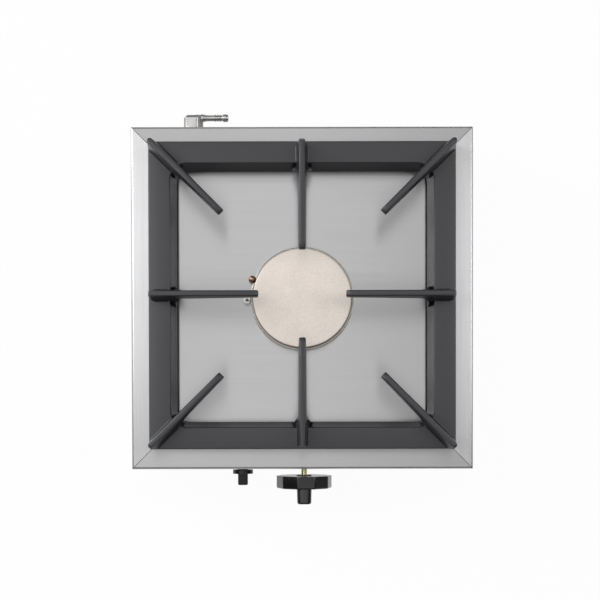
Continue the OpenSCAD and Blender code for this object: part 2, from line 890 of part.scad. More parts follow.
module burner_bowl() {
    floor_top = bowl_bottom + bowl_t;
    color([0.6, 0.6, 0.6]) difference() {
        union() {
            bar_z(bowl_r, bowl_bottom, bowl_top);
            bar_z(neck_r, neck_bottom, bowl_bottom + 1);
            translate([tap_x, 0, gas_z]) bar_y(tube_r, tube_mouth, 0);
            for (s = [-1, 1])
                translate([s * bracket_boss_x, 0, 0]) bar_z(bracket_boss_r, bracket_top, bowl_bottom + 1);
            box_between([-lug_x - 5, lug_y - lug_w / 2, bowl_bottom],
                        [-bowl_in_r - 1, lug_y + lug_w / 2, sensor_z]);
        }
        bar_z(bowl_in_r, floor_top, bowl_top + 1);
        bar_z(neck_r - tube_t, neck_bottom + neck_floor, floor_top + 1);
        translate([tap_x, 0, gas_z]) bar_y(tube_r - tube_t, tube_mouth - 1, 0);
        translate([tap_x, 0, gas_z])
            box_between([-tube_r - 1, window_y, -window_h / 2],
                        [tube_r + 1, window_y + window_len, window_h / 2]);
        for (s = [-1, 1])
            translate([s * bracket_boss_x, 0, 0])
                bar_z(screw_r + run_gap, bracket_top - 1, bracket_top + 7);
        translate([-lug_x, lug_y, 0]) bar_z(screw_r + run_gap, sensor_z - 6, sensor_z + 1);
    }
}

module burner_bracket() {
    half = bracket_depth / 2;
    color([0.66, 0.67, 0.68]) difference() {
        union() {
            box_between([bracket_x, -half, base_top], [bracket_x + bracket_t, half, bracket_top]);
            box_between([bracket_boss_x - 8, -half, bracket_top - bracket_t],
                        [bracket_x + bracket_t, half, bracket_top]);
            box_between([bracket_x, -half, base_top],
                        [bracket_x + bracket_foot, half, base_top + bracket_t]);
        }
        translate([bracket_boss_x, 0, 0])
            bar_z(screw_r + run_gap, bracket_top - bracket_t - 1, bracket_top + 1);
        translate([bracket_x + bracket_foot / 2, 0, 0])
            bar_z(screw_r + run_gap, base_top - 1, base_top + bracket_t + 1);
    }
}

module burner_bracket_left() {
    mirror([1, 0, 0]) burner_bracket();
}

module burner_bracket_right() {
    burner_bracket();
}

module bracket_screws() {
    color([0.7, 0.7, 0.72]) {
        for (s = [-1, 1])
            translate([s * bracket_boss_x, 0, bracket_top - bracket_t])
                screw(screw_r, screw_head_r, screw_head_t, 8);
        for (p = bracket_points())
            translate([p[0], p[1], fold_top])
                screw(screw_r, screw_head_r, screw_head_t, bracket_screw_len);
    }
}

module injector() {
    color([0.78, 0.66, 0.36]) translate([tap_x, 0, gas_z]) difference() {
        union() {
            hex_y(injector_af, outlet_end, injector_hex_end);
            bar_y(injector_r, injector_hex_end - 1, injector_end);
        }
        bar_y(gas_way_r - 1, outlet_end - 1, injector_end - 2);
        bar_y(jet_r, injector_end - 3, injector_end + 1);
    }
}

module air_shutter() {
    color([0.72, 0.72, 0.74]) translate([tap_x, 0, gas_z]) difference() {
        union() {
            bar_y(shutter_r, shutter_y, shutter_y + shutter_len);
            translate([0, shutter_screw_y, tube_r]) bar_z(4, 0, 5);
        }
        bar_y(tube_r + run_gap, shutter_y + shutter_t, shutter_y + shutter_len + 1);
        bar_y(shutter_hole_r, shutter_y - 1, shutter_y + shutter_t + 1);
        translate([0, shutter_screw_y, 0]) bar_z(1.5 + run_gap, tube_r - 1, tube_r + 6);
    }
}

module shutter_screw() {
    tip = tube_r + 0.3;
    color([0.6, 0.6, 0.62]) translate([tap_x, shutter_screw_y, gas_z + tube_r + 5])
        rotate([180, 0, 0]) screw(1.5, 2.8, 2, 5 + tube_r - tip);
}

// Gas tap

module gas_tap() {
    color([0.74, 0.62, 0.36]) translate([tap_x, 0, gas_z]) difference() {
        union() {
            bar_y(tap_r, tap_y, tap_end);
            box_between([-ear_w, tap_y, -ear_h], [ear_w, tap_y + ear_t, ear_h]);
            bar_y(outlet_r, tap_end - 1, outlet_end);
            translate([0, port_y, 0]) bar_x(inlet_boss_r, -inlet_boss_len, 0);
            translate([0, magnet_y, 0]) bar_z(magnet_boss_r, magnet_boss_end - gas_z, 0);
        }
        bar_y(plug_r + run_gap, tap_y - 1, plug_end + run_gap);
        bar_y(gas_way_r, plug_end, outlet_end + 1);
        translate([0, port_y, 0]) bar_x(gas_way_r, -inlet_boss_len - 1, 0);
        translate([0, magnet_y, 0])
            bar_z(magnet_stem_r, magnet_boss_end - gas_z - 1, -tap_r - 2);
        for (s = [-1, 1])
            translate([s * ear_screw_x, 0, 0]) bar_y(screw_r + run_gap, tap_y - 1, tap_y + ear_t - 2);
    }
}

module tap_bonnet() {
    color([0.74, 0.62, 0.36]) translate([tap_x, 0, gas_z]) difference() {
        union() {
            bar_y(tap_r - 3, bonnet_y, tap_y);
            box_between([-ear_w, bonnet_y, -ear_h], [ear_w, tap_y, ear_h]);
        }
        bar_y(spindle_r + run_gap, bonnet_y - 1, tap_y + 1);
        for (s = [-1, 1])
            translate([s * ear_screw_x, 0, 0]) bar_y(screw_r + run_gap, bonnet_y - 1, tap_y + 1);
    }
}

module tap_bracket() {
    color([0.66, 0.67, 0.68]) difference() {
        union() {
            box_between([tap_x - tap_bracket_half, tap_bracket_y, base_top],
                        [tap_x + tap_bracket_half, bonnet_y, gas_z + tap_bracket_rise]);
            box_between([tap_x - tap_bracket_half, tap_bracket_y, base_top],
                        [tap_x + tap_bracket_half, tap_bracket_y + tap_foot_len, base_top + bracket_t]);
        }
        translate([tap_x, 0, gas_z]) bar_y(spindle_r + 1.5, tap_bracket_y - 1, bonnet_y + 1);
        for (s = [-1, 1])
            translate([tap_x + s * ear_screw_x, 0, gas_z])
                bar_y(screw_r + run_gap, tap_bracket_y - 1, bonnet_y + 1);
        for (s = [-1, 1])
            translate([tap_x + s * tap_foot_screw_x, tap_bracket_y + tap_foot_screw_y, 0])
                bar_z(screw_r + run_gap, base_top - 1, base_top + bracket_t + 1);
    }
}

module tap_screws() {
    color([0.7, 0.7, 0.72])
        for (s = [-1, 1])
            translate([tap_x + s * ear_screw_x, tap_bracket_y, gas_z]) rotate([-90, 0, 0])
                screw(screw_r, screw_head_r, screw_head_t, bracket_t + bonnet_t + ear_t - 3);
}

module tap_plug() {
    color([0.8, 0.7, 0.45]) translate([tap_x, 0, gas_z]) difference() {
        bar_y(plug_r, plug_y, plug_end);
        box_between([-tongue_w / 2 - slide_gap, plug_y - 1, -tongue_h / 2 - slide_gap],
                    [tongue_w / 2 + slide_gap, tongue_end + push_travel + 0.5,
                     tongue_h / 2 + slide_gap]);
        translate([0, port_y, 0]) bar_z(gas_way_r - 0.5, 0, plug_r + 1);
        translate([0, port_y, 0]) bar_x(jet_r + 0.3, 0, plug_r + 1);
        bar_y(gas_way_r - 0.5, port_y, plug_end + 1);
    }
}

module tap_spindle() {
    color([0.8, 0.72, 0.42]) translate([tap_x, 0, gas_z]) difference() {
        union() {
            bar_y(spindle_r, spindle_tip, collar_y + 0.5);
            bar_y(spindle_collar_r, collar_y, collar_y + spindle_collar_t);
            box_between([-tongue_w / 2, collar_y + 0.5, -tongue_h / 2],
                        [tongue_w / 2, tongue_end, tongue_h / 2]);
        }
        box_between([-spindle_r - 1, spindle_tip - 1, spindle_flat],
                    [spindle_r + 1, knob_y, spindle_r + 1]);
    }
}

module tap_spring() {
    spring_r = spindle_collar_r - 0.2;
    color([0.7, 0.7, 0.72]) translate([tap_x, 0, gas_z]) difference() {
        bar_y(spring_r, collar_y + spindle_collar_t, plug_y);
        bar_y(spring_r - 0.9, collar_y, plug_y + 1);
    }
}

module magnet_unit() {
    body_low = magnet_boss_end - magnet_body_h;
    color([0.72, 0.72, 0.74]) translate([tap_x, magnet_y, 0]) {
        bar_z(magnet_stem_r - run_gap, magnet_boss_end - 1, gas_z - tap_r - 4);
        translate([0, 0, body_low]) cylinder(r = magnet_body_r, h = magnet_body_h, $fn = 6);
    }
}

// Supply pipe and inlet

module supply_pipe() {
    color([0.75, 0.52, 0.36]) bent_bar([
        [tap_left, port_y, gas_z], [-inlet_x, port_y, gas_z], [-inlet_x, pipe_rear, gas_z]
    ], pipe_r, pipe_bend);
}

// Union nut with its wide bore towards +Y and the pipe leaving towards -Y
module pipe_nut() {
    difference() {
        hex_y(pipe_nut_af, -nut_grip, nut_grip - 1);
        bar_y(inlet_boss_r + run_gap, 0, nut_grip);
        bar_y(pipe_r + run_gap, -nut_grip - 1, 1);
    }
}

module pipe_nut_tap() {
    color([0.78, 0.66, 0.38]) translate([tap_left, port_y, gas_z]) rotate([0, 0, -90]) pipe_nut();
}

module pipe_nut_rear() {
    color([0.78, 0.66, 0.38]) translate([-inlet_x, pipe_rear, gas_z]) pipe_nut();
}

module inlet_fitting() {
    hex_y0 = rear_y - panel_t - fitting_hex_t;
    color([0.78, 0.66, 0.38]) translate([-inlet_x, 0, gas_z]) difference() {
        union() {
            bar_y(fitting_stub_r, pipe_rear, hex_y0 + 1);
            hex_y(fitting_hex_af, hex_y0, rear_y - panel_t);
            bar_y(thread_r, rear_y - panel_t - 1, elbow_y + elbow_socket - 1);
        }
        bar_y(gas_way_r, pipe_rear - 1, elbow_y + elbow_socket);
    }
}

module inlet_nut() {
    color([0.72, 0.72, 0.74]) translate([-inlet_x, 0, gas_z]) difference() {
        hex_y(inlet_nut_af, rear_y, rear_y + inlet_nut_t);
        bar_y(thread_r + run_gap, rear_y - 1, rear_y + inlet_nut_t + 1);
    }
}

// Outline of the hose tail: x is its radius and y runs along it
module tail_outline() {
    barbs_y = tail_len - bead_len - barb_n * barb_pitch;
    polygon(concat(
        [[0, -4], [tail_r + 1.4, -4], [tail_r + 1.4, 0], [tail_r, tail_neck]],
        [for (i = [0 : barb_n - 1]) each [
            [tail_r, barbs_y + i * barb_pitch], [tail_r + barb_rise, barbs_y + i * barb_pitch],
            [tail_r, barbs_y + (i + 0.8) * barb_pitch]
        ]],
        [
            [tail_r, tail_len - bead_len], [bead_r, tail_len - bead_len + 1.5],
            [bead_r, tail_len - 2.5], [tail_r + 0.4, tail_len], [0, tail_len]
        ]
    ));
}

// Round outline that eases the elbow's closed end: x is the radius and y runs to the end
module elbow_outline(len, r) {
    polygon(concat(
        [[0, 0], [r, 0]],
        [for (a = [0 : 11.25 : 90])
            [r - elbow_round + elbow_round * cos(a), len - elbow_round + elbow_round * sin(a)]],
        [[0, len]]
    ));
}

module inlet_elbow() {
    half = elbow_af / 2 / cos(30);
    color([0.7, 0.71, 0.72]) translate([-inlet_x, 0, gas_z]) difference() {
        union() {
            intersection() {
                hex_y(elbow_af, elbow_y, elbow_end);
                translate([0, elbow_y, 0]) rotate([-90, 0, 0])
                    rotate_extrude($fn = 96) elbow_outline(elbow_end - elbow_y, half + 0.1);
            }
            translate([half, tail_y, 0]) rotate([0, 90, 0]) rotate_extrude() tail_outline();
        }
        bar_y(thread_r + run_gap, elbow_y - 1, elbow_y + elbow_socket);
        bar_y(gas_way_r, elbow_y, tail_y);
        translate([0, tail_y, 0]) bar_x(tail_bore, 0, half + tail_len + 1);
    }
}

// Knob, drawn with its axis along local Z and the casing behind it at z = 0

module knob_disc() {
    front = boss_t + knob_t;
    intersection() {
        rotate_extrude($fn = 96) polygon(concat(
            [[0, 0], [boss_r, 0], [boss_r, boss_t], [knob_r - knob_back_round, boss_t],
             [knob_r, boss_t + knob_back_round]],
            [for (a = [0 : 22.5 : 90])
                [knob_r - knob_round + knob_round * cos(a),
                 front - knob_dome - knob_round + knob_round * sin(a)]],
            [[grip_w * 0.7, front], [0, front]]
        ));
        rotate([0, 0, 90 - facet_turn - 180 / facet_n]) translate([0, 0, -1])
            cylinder(r = facet_in / cos(180 / facet_n), h = front + 2, $fn = facet_n);
    }
}

module grip_bar() {
    low = boss_t + knob_t - 1;
    top = boss_t + knob_t + grip_h;
    half = grip_w / 2;
    end = grip_len / 2;
    intersection() {
        translate([0, end, 0]) rotate([90, 0, 0]) linear_extrude(grip_len) polygon([
            [-half - grip_draft - grip_root, low], [half + grip_draft + grip_root, low],
            [half + grip_draft, low + 3], [half, top - grip_chamfer], [half - grip_chamfer, top],
            [-half + grip_chamfer, top], [-half, top - grip_chamfer], [-half - grip_draft, low + 3]
        ]);
        linear_extrude(top + 1) polygon([
            [-half - 2, -end + grip_chamfer + 2], [-half + grip_chamfer, -end],
            [half - grip_chamfer, -end], [half + 2, -end + grip_chamfer + 2],
            [half + 2, end - grip_chamfer - 2], [half - grip_chamfer, end],
            [-half + grip_chamfer, end], [-half - 2, end - grip_chamfer - 2]
        ]);
    }
}

module knob() {
    hole = spindle_r + run_gap;
    color([0.13, 0.13, 0.13]) translate([tap_x, knob_y, gas_z]) rotate([90, 0, 0]) difference() {
        union() {
            knob_disc();
            grip_bar();
        }
        difference() {
            bar_z(hole, -1, knob_y - spindle_tip);
            box_between([-hole - 1, spindle_flat + run_gap, -2],
                        [hole + 1, hole + 1, knob_y - spindle_tip + 2]);
        }
    }
}

// Igniter

module igniter_body() {
    color([0.12, 0.12, 0.12]) translate([-igniter_x, 0, gas_z]) difference() {
        union() {
            bar_y(igniter_r, front_y + panel_t, igniter_end);
            bar_y(barrel_r, barrel_end, front_y + panel_t + 1);
        }
        bar_y(stem_r + run_gap, barrel_end - 1, stop_y + 1);
        bar_y(chamber_r, stop_y, chamber_end);
        translate([0, spark_exit_y, 0])
            bar_z(spark_lead_r + run_gap, -igniter_r - 1, spark_exit_z - gas_z);
    }
}

module igniter_nut() {
    recess = button_w / 2 + 0.3;
    color([0.1, 0.1, 0.1]) translate([-igniter_x, 0, gas_z]) difference() {
        union() {
            bar_y(collar_r, collar_face, front_y - collar_off);
            bar_y(barrel_r + hub_wall, front_y - collar_off - 1, front_y);
        }
        bar_y(barrel_r + run_gap, barrel_end - 0.1, front_y + 1);
        translate([0, barrel_end, 0]) rotate([90, 0, 0]) linear_extrude(collar_t + 1)
            round_rect(2 * recess, 2 * recess, button_round);
    }
}

module igniter_button() {
    color([0.16, 0.16, 0.16]) translate([-igniter_x, 0, gas_z]) {
        translate([0, button_back, 0]) rotate([90, 0, 0])
            linear_extrude(button_back - collar_face + button_len)
                round_rect(button_w, button_w, button_round);
        bar_y(stem_r, button_back - 1, stop_y + stop_t);
        bar_y(stop_r, stop_y, stop_y + stop_t);
    }
}

module igniter_spring() {
    color([0.7, 0.7, 0.72]) translate([-igniter_x, 0, gas_z]) difference() {
        bar_y(stop_r, stop_y + stop_t, chamber_end);
        bar_y(stop_r - 0.8, stop_y, chamber_end + 1);
    }
}

module ignition_lead() {
    color([0.55, 0.12, 0.1]) bent_bar([
        [-spark_x, -spark_y, wire_bottom], [-spark_x, -spark_y, spark_level],
        [-igniter_x, -spark_y, spark_level], [-igniter_x, spark_exit_y, spark_level],
        [-igniter_x, spark_exit_y, spark_exit_z]
    ], spark_lead_r, spark_bend);
}

// Sensors

module sensor_bracket() {
    color([0.66, 0.67, 0.68]) difference() {
        box_between([-sensor_out, sensor_front, sensor_z], [-bowl_r - 0.8, sensor_rear, sensor_top]);
        translate([-spark_x, -spark_y, 0]) bar_z(ceramic_r + run_gap, sensor_z - 1, sensor_top + 1);
        translate([-probe_x, probe_y, 0]) bar_z(probe_r - 1 + run_gap, sensor_z - 1, sensor_top + 1);
        translate([-lug_x, lug_y, 0]) bar_z(screw_r + run_gap, sensor_z - 1, sensor_top + 1);
    }
}

module sensor_screw() {
    color([0.7, 0.7, 0.72]) translate([-lug_x, lug_y, sensor_top]) rotate([180, 0, 0])
        screw(screw_r, screw_head_r - 1, screw_head_t, 6);
}

module electrode_ceramic() {
    color([0.95, 0.95, 0.93]) translate([-spark_x, -spark_y, 0]) difference() {
        union() {
            bar_z(ceramic_r, ceramic_bottom, ceramic_top);
            bar_z(ceramic_r + sensor_hub_wall, sensor_top, sensor_top + sensor_hub_h);
        }
        bar_z(wire_r + run_gap, ceramic_bottom - 1, ceramic_top + 1);
    }
}

module electrode_wire() {
    color([0.5, 0.48, 0.46]) translate([-spark_x, -spark_y, 0]) {
        bar_z(wire_r, wire_bottom, wire_top);
        translate([0, 0, wire_top]) sphere(r = wire_r);
    }
}

module thermocouple() {
    color([0.62, 0.4, 0.28]) translate([-probe_x, probe_y, 0]) {
        bar_z(probe_r - 1, probe_bottom, sensor_top + 1);
        bar_z(probe_r, sensor_top, probe_top - probe_r);
        translate([0, 0, probe_top - probe_r]) sphere(r = probe_r);
    }
}

module thermocouple_nut() {
    color([0.72, 0.72, 0.74]) translate([-probe_x, probe_y, 0]) difference() {
        translate([0, 0, sensor_z - 4]) cylinder(r = probe_r + 1.4, h = 4, $fn = 6);
        bar_z(probe_r - 1 + run_gap, sensor_z - 5, sensor_z + 1);
    }
}

module thermocouple_lead() {
    color([0.75, 0.5, 0.34]) bent_bar([
        [-probe_x, probe_y, probe_bottom], [-probe_x, probe_y, lead_floor],
        [-probe_x, magnet_y, lead_floor], [tap_x, magnet_y, lead_floor],
        [tap_x, magnet_y, magnet_boss_end - magnet_body_h]
    ], probe_lead_r, lead_bend);
}

translate([0, shift_y, 0]) {
    front_panel();
    rear_panel();
    left_panel();
    right_panel();
    base_plate();
    base_screws();
    foot_front_left();
    foot_front_right();
    foot_rear_left();
    foot_rear_right();
    foot_bolts();
    drip_tray();
    pan_support();
    burner_cap();
    burner_crown();
    burner_bowl();
    burner_bracket_left();
    burner_bracket_right();
    bracket_screws();
    air_shutter();
    shutter_screw();
    injector();
    gas_tap();
    tap_bonnet();
    tap_bracket();
    tap_screws();
    tap_plug();
    tap_spindle();
    tap_spring();
    magnet_unit();
    supply_pipe();
    pipe_nut_tap();
    pipe_nut_rear();
    inlet_fitting();
    inlet_nut();
    inlet_elbow();
    knob();
    igniter_body();
    igniter_nut();
    igniter_button();
    igniter_spring();
    ignition_lead();
    sensor_bracket();
    sensor_screw();
    electrode_ceramic();
    electrode_wire();
    thermocouple();
    thermocouple_nut();
    thermocouple_lead();
}
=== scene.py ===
"""Countertop gas burner with one ring: looks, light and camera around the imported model.

Run as a script. The part's solids come from model.glb, and each operator below either
gives them their finish or builds a finer piece that stands for them.
"""

from math import atan2, cos, degrees, pi, radians, sin, sqrt, tan

import bpy
from mathutils import Euler, Matrix, Vector


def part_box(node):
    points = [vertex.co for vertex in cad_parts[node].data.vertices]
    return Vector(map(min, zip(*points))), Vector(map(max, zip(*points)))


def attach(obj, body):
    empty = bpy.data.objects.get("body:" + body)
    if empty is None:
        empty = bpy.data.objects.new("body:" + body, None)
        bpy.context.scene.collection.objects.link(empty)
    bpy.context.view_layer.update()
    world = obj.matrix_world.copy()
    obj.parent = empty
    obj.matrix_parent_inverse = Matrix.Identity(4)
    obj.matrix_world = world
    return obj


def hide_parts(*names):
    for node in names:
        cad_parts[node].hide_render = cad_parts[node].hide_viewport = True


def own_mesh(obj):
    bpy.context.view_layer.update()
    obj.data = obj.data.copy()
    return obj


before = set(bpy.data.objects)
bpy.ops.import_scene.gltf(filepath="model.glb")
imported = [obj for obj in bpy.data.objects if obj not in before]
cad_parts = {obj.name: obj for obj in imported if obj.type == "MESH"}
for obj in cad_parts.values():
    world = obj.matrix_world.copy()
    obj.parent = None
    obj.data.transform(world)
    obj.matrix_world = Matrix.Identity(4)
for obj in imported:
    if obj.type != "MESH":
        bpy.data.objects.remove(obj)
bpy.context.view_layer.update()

bl_info = {
    "name": "Countertop gas burner",
    "version": (1, 0, 0),
    "blender": (4, 5, 0),
    "location": "3D View > Sidebar > Burner",
    "description": "Dresses a countertop gas burner with one ring and sets up its picture",
    "category": "Object",
}

MM = 0.001

# Colour sockets of a mix node, which share their names with its other sockets
MIX_A, MIX_B, MIX_RESULT = 6, 7, 2

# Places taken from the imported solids, in metres
GRATE_LOW, GRATE_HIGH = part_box("pan_support")
GRATE_MIDDLE = Vector(((GRATE_LOW.x + GRATE_HIGH.x) / 2, (GRATE_LOW.y + GRATE_HIGH.y) / 2, 0))
CAP_LOW, CAP_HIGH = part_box("burner_cap")
CAP_MIDDLE = Vector(((CAP_LOW.x + CAP_HIGH.x) / 2, (CAP_LOW.y + CAP_HIGH.y) / 2, 0))
KNOB_LOW, KNOB_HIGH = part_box("knob")
NUT_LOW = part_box("igniter_nut")[0]
BUTTON_LOW, BUTTON_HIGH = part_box("igniter_button")
CASE_LOW = Vector((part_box("left_panel")[0].x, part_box("front_panel")[0].y, 0))
CASE_HIGH = Vector((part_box("right_panel")[1].x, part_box("rear_panel")[1].y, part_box("rear_panel")[1].z))
ELBOW_LOW, ELBOW_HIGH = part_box("inlet_elbow")
# From the left end of the elbow to the axis of its casting
ELBOW_HALF = 12.12 * MM
CROWN_LOW, CROWN_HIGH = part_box("burner_crown")
# Height of the tap's axis
GAS_AXIS_Z = 82 * MM
# Height of the crown's port wall above its flange
PORT_WALL = 7.0 * MM
# Painted shade under the cap's edge: near the burner's axis the crown is darker, up to the first radius and
# fading out at the second
CAP_SHADE_RADII = 58.0 * MM, 58.9 * MM
# Pan support: how far its lip slants in, how far it drops, and how far the ribs stop short of the edge
LIP_SLANT = 6 * MM
LIP_DROP = 18.5 * MM
RIB_END_IN = 2.5 * MM
# Distance of the rib tips from the burner's axis
LONG_RIB_TIP, CORNER_RIB_TIP = 50 * MM, 130 * MM
# Knob: turn of its facets, how far their flats stand out, its boss, and its grip bar
FACET_TURN = radians(4.5)
FACET_OUT = 0.15 * MM
BOSS_R, BOSS_T = 9.2 * MM, 1.0 * MM
GRIP_W, GRIP_LEN, GRIP_H = 16.8 * MM, 60 * MM, 17.5 * MM

# The studio's light: softboxes as (name, place, width, depth, power), all aimed at the burner
LAMPS = (
    ("left_softbox", (-1.5, 0.4, 1.7), 0.9, 1.5, 15.5),
    ("left_low_softbox", (-2.0, 1.0, 1.2), 0.9, 1.4, 20),
    ("right_softbox", (1.5, 0.3, 1.7), 0.9, 1.5, 12.5),
)
LAMP_AIM = Vector((0, 0, 0.1))
# Glow of the studio's ceiling: (direction, narrowness, strength)
GLOWS = (
    ((0, 0, 1), 30, 0.45),
    ((-0.34, 0, 0.94), 30, 1.3),
    ((0.34, 0, 0.94), 30, 0.3),
    ((0, 0.42, 0.91), 30, 1.68),
    ((0, -0.34, 0.94), 30, 1.06),
)
EVEN_GLOW = 0.05
# The horizon's glow falls off by this power towards the ceiling
HORIZON_GLOW, HORIZON_POWER = 0.35, 6.0
# Share of plain white in what the camera and the metals see of the floor; the rest keeps its shadow
FLOOR_WHITE = 0.96


# Colours, nodes and materials

def linear(hex_text):
    """An sRGB hex colour as linear red, green and blue."""
    channels = [int(hex_text[i:i + 2], 16) / 255 for i in (1, 3, 5)]
    return tuple(c / 12.92 if c <= 0.04045 else ((c + 0.055) / 1.055) ** 2.4 for c in channels)


def opaque(colour):
    """A colour with full alpha."""
    return (colour[0], colour[1], colour[2], 1.0)


def shade(colour, factor):
    """The same colour, lighter or darker."""
    return tuple(min(1.0, c * factor) for c in colour)


def add_node(tree, kind, inputs=None, links=(), stops=(), **settings):
    """Add a shader node, set its settings, values and colour stops, and link sources to its sockets."""
    made = tree.nodes.new(kind)
    for key, value in settings.items():
        setattr(made, key, value)
    for socket, value in (inputs or {}).items():
        made.inputs[socket].default_value = value
    for source, socket in links:
        tree.links.new(source, made.inputs[socket])
    for k, (position, colour) in enumerate(stops):
        made.color_ramp.elements[k].position = position
        made.color_ramp.elements[k].color = opaque(colour)
    return made


def start_material(name, colour, metallic, roughness, ior=1.5):
    """A new material with a principled shader; returns the material, its tree and the shader."""
    material = bpy.data.materials.new(name)
    material.use_nodes = True
    tree = material.node_tree
    tree.nodes.clear()
    shader = add_node(tree, "ShaderNodeBsdfPrincipled", {
        "Base Color": opaque(colour), "Metallic": metallic, "Roughness": roughness, "IOR": ior,
    })
    add_node(tree, "ShaderNodeOutputMaterial", links=[(shader.outputs["BSDF"], "Surface")])
    material.diffuse_color = opaque(colour)
    return material, tree, shader


def places(tree, size_mm):
    """Places in the part's frame, stretched so that a pattern of scale 1 has this size along X, Y and Z."""
    place = add_node(tree, "ShaderNodeTexCoord")
    scale = tuple(1 / (size * MM) for size in size_mm)
    stretch = add_node(tree, "ShaderNodeMapping", {"Scale": scale}, [(place.outputs["Object"], "Vector")])
    return stretch.outputs["Vector"]


def grain(tree, size_mm, detail=3.0, rough=0.5):
    """Cloudy pattern between 0 and 1, of this size along X, Y and Z."""
    return add_node(tree, "ShaderNodeTexNoise", {"Scale": 1.0, "Detail": detail, "Roughness": rough},
                    [(places(tree, size_mm), "Vector")]).outputs["Fac"]


def dress(tree, shader, shades, pattern, glossy, dull, depth_mm=0.0, strength=0.0):
    """Colour the shader, let a pattern vary its roughness, and raise the pattern as fine relief."""
    tree.links.new(shades, shader.inputs["Base Color"])
    rough = add_node(tree, "ShaderNodeMapRange", {"To Min": glossy, "To Max": dull}, [(pattern, "Value")])
    tree.links.new(rough.outputs["Result"], shader.inputs["Roughness"])
    if depth_mm:
        bump = add_node(tree, "ShaderNodeBump", {"Strength": strength, "Distance": depth_mm * MM},
                        [(pattern, "Height")])
        tree.links.new(bump.outputs["Normal"], shader.inputs["Normal"])


def brushed_steel(name, colour, direction, roughness, contrast=0.06, line_mm=0.9, run_mm=70.0, stretch=0.75):
    """Stainless sheet, brushed: long fine lines that stretch the highlights across them.

    The real lines are about 0.1 mm apart and wouldn't show, so they are drawn wider.
    """
    material, tree, shader = start_material(name, colour, 1.0, roughness)
    shader.inputs["Anisotropic"].default_value = stretch
    across_lines = add_node(tree, "ShaderNodeTangent", direction_type="RADIAL", axis=direction)
    tree.links.new(across_lines.outputs["Tangent"], shader.inputs["Tangent"])
    lines = grain(tree, (run_mm, line_mm, line_mm) if direction == "X" else (line_mm, run_mm, line_mm), 2.0)
    cloud_mm, cloud_share = 90, 0.35
    clouds = grain(tree, (cloud_mm,) * 3, 2.0)
    faint = add_node(tree, "ShaderNodeMath", {1: cloud_share}, [(clouds, 0)], operation="MULTIPLY")
    mixed = add_node(tree, "ShaderNodeMath", links=[(lines, 0), (faint.outputs[0], 1)], operation="ADD")
    shades = add_node(tree, "ShaderNodeValToRGB", links=[(mixed.outputs[0], "Fac")],
                      stops=((0.4, shade(colour, 1 - contrast)), (0.95, shade(colour, 1 + contrast))))
    dress(tree, shader, shades.outputs["Color"], lines, roughness - 0.05, roughness + 0.05, 0.01, 0.12)
    return material


def cast_surface(name, colour, metallic, roughness, grit_mm, depth_mm, strength, contrast, spot=None,
                 ior=1.5):
    """Sand-cast or die-cast surface: the mould's grit breaks the light into fine specks.

    The real grit is about 0.3 mm and wouldn't show, so it is drawn coarser. The specks have
    the colour spot, or else a darker shade of the surface's own.
    """
    material, tree, shader = start_material(name, colour, metallic, roughness, ior)
    grit = grain(tree, (grit_mm,) * 3, 4.0, 0.6)
    cloud_mm = 28
    broad = grain(tree, (cloud_mm,) * 3, 2.0)
    low, high = shade(colour, 1 - contrast), shade(colour, 1 + contrast)
    specks = add_node(tree, "ShaderNodeValToRGB", links=[(grit, "Fac")],
                      stops=((0.32, spot or low), (0.62, high)))
    clouds = add_node(tree, "ShaderNodeValToRGB", links=[(broad, "Fac")],
                      stops=((0.3, linear("#f7f7f7")), (0.7, linear("#ffffff"))))
    mixed = add_node(tree, "ShaderNodeMix", {0: 1.0},
                     [(specks.outputs["Color"], MIX_A), (clouds.outputs["Color"], MIX_B)],
                     data_type="RGBA", blend_type="MULTIPLY")
    dress(tree, shader, mixed.outputs[MIX_RESULT], grit, roughness - 0.07, roughness + 0.07, depth_mm,
          strength)
    return material


def turned_metal(name, colour, roughness, line_mm=0.5):
    """Turned or drawn metal: faint rings and streaks left by the tool.

    The real marks are about 0.1 mm apart and wouldn't show, so they are drawn wider.
    """
    material, tree, shader = start_material(name, colour, 1.0, roughness)
    streak_mm = 6
    lines = grain(tree, (line_mm, line_mm, streak_mm), 2.0)
    shades = add_node(tree, "ShaderNodeValToRGB", links=[(lines, "Fac")],
                      stops=((0.3, shade(colour, 0.88)), (0.7, shade(colour, 1.06))))
    dress(tree, shader, shades.outputs["Color"], lines, roughness - 0.06, roughness + 0.08, 0.01, 0.2)
    return material


def galvanised_sheet(name, colour):
    """Hot-dip galvanised sheet: dull grey with the zinc's crystals as soft patches of 5 mm."""
    material, tree, shader = start_material(name, colour, 1.0, 0.45)
    crystal_mm = 5
    crystals = add_node(tree, "ShaderNodeTexVoronoi", {"Scale": 1.0},
                        [(places(tree, (crystal_mm,) * 3), "Vector")])
    patch = add_node(tree, "ShaderNodeSeparateColor", links=[(crystals.outputs["Color"], "Color")])
    shades = add_node(tree, "ShaderNodeValToRGB", links=[(patch.outputs[0], "Fac")],
                      stops=((0.0, shade(colour, 0.85)), (1.0, shade(colour, 1.1))))
    dress(tree, shader, shades.outputs["Color"], patch.outputs[0], 0.38, 0.52)
    return material


def smooth_moulding(name, colour, roughness, ior=1.5, grain_mm=0.7, strength=0.2):
    """Moulded plastic or rubber: even colour with the tool's faint texture in the gloss.

    The real texture is finer than 0.2 mm and wouldn't show, so it is drawn coarser.
    """
    material, tree, shader = start_material(name, colour, 0.0, roughness, ior)
    fine = grain(tree, (grain_mm,) * 3, 3.0)
    shades = add_node(tree, "ShaderNodeValToRGB", links=[(fine, "Fac")],
                      stops=((0.3, shade(colour, 0.8)), (0.7, shade(colour, 1.2))))
    dress(tree, shader, shades.outputs["Color"], fine, roughness - 0.05, roughness + 0.06, 0.02, strength)
    return material


# Meshes

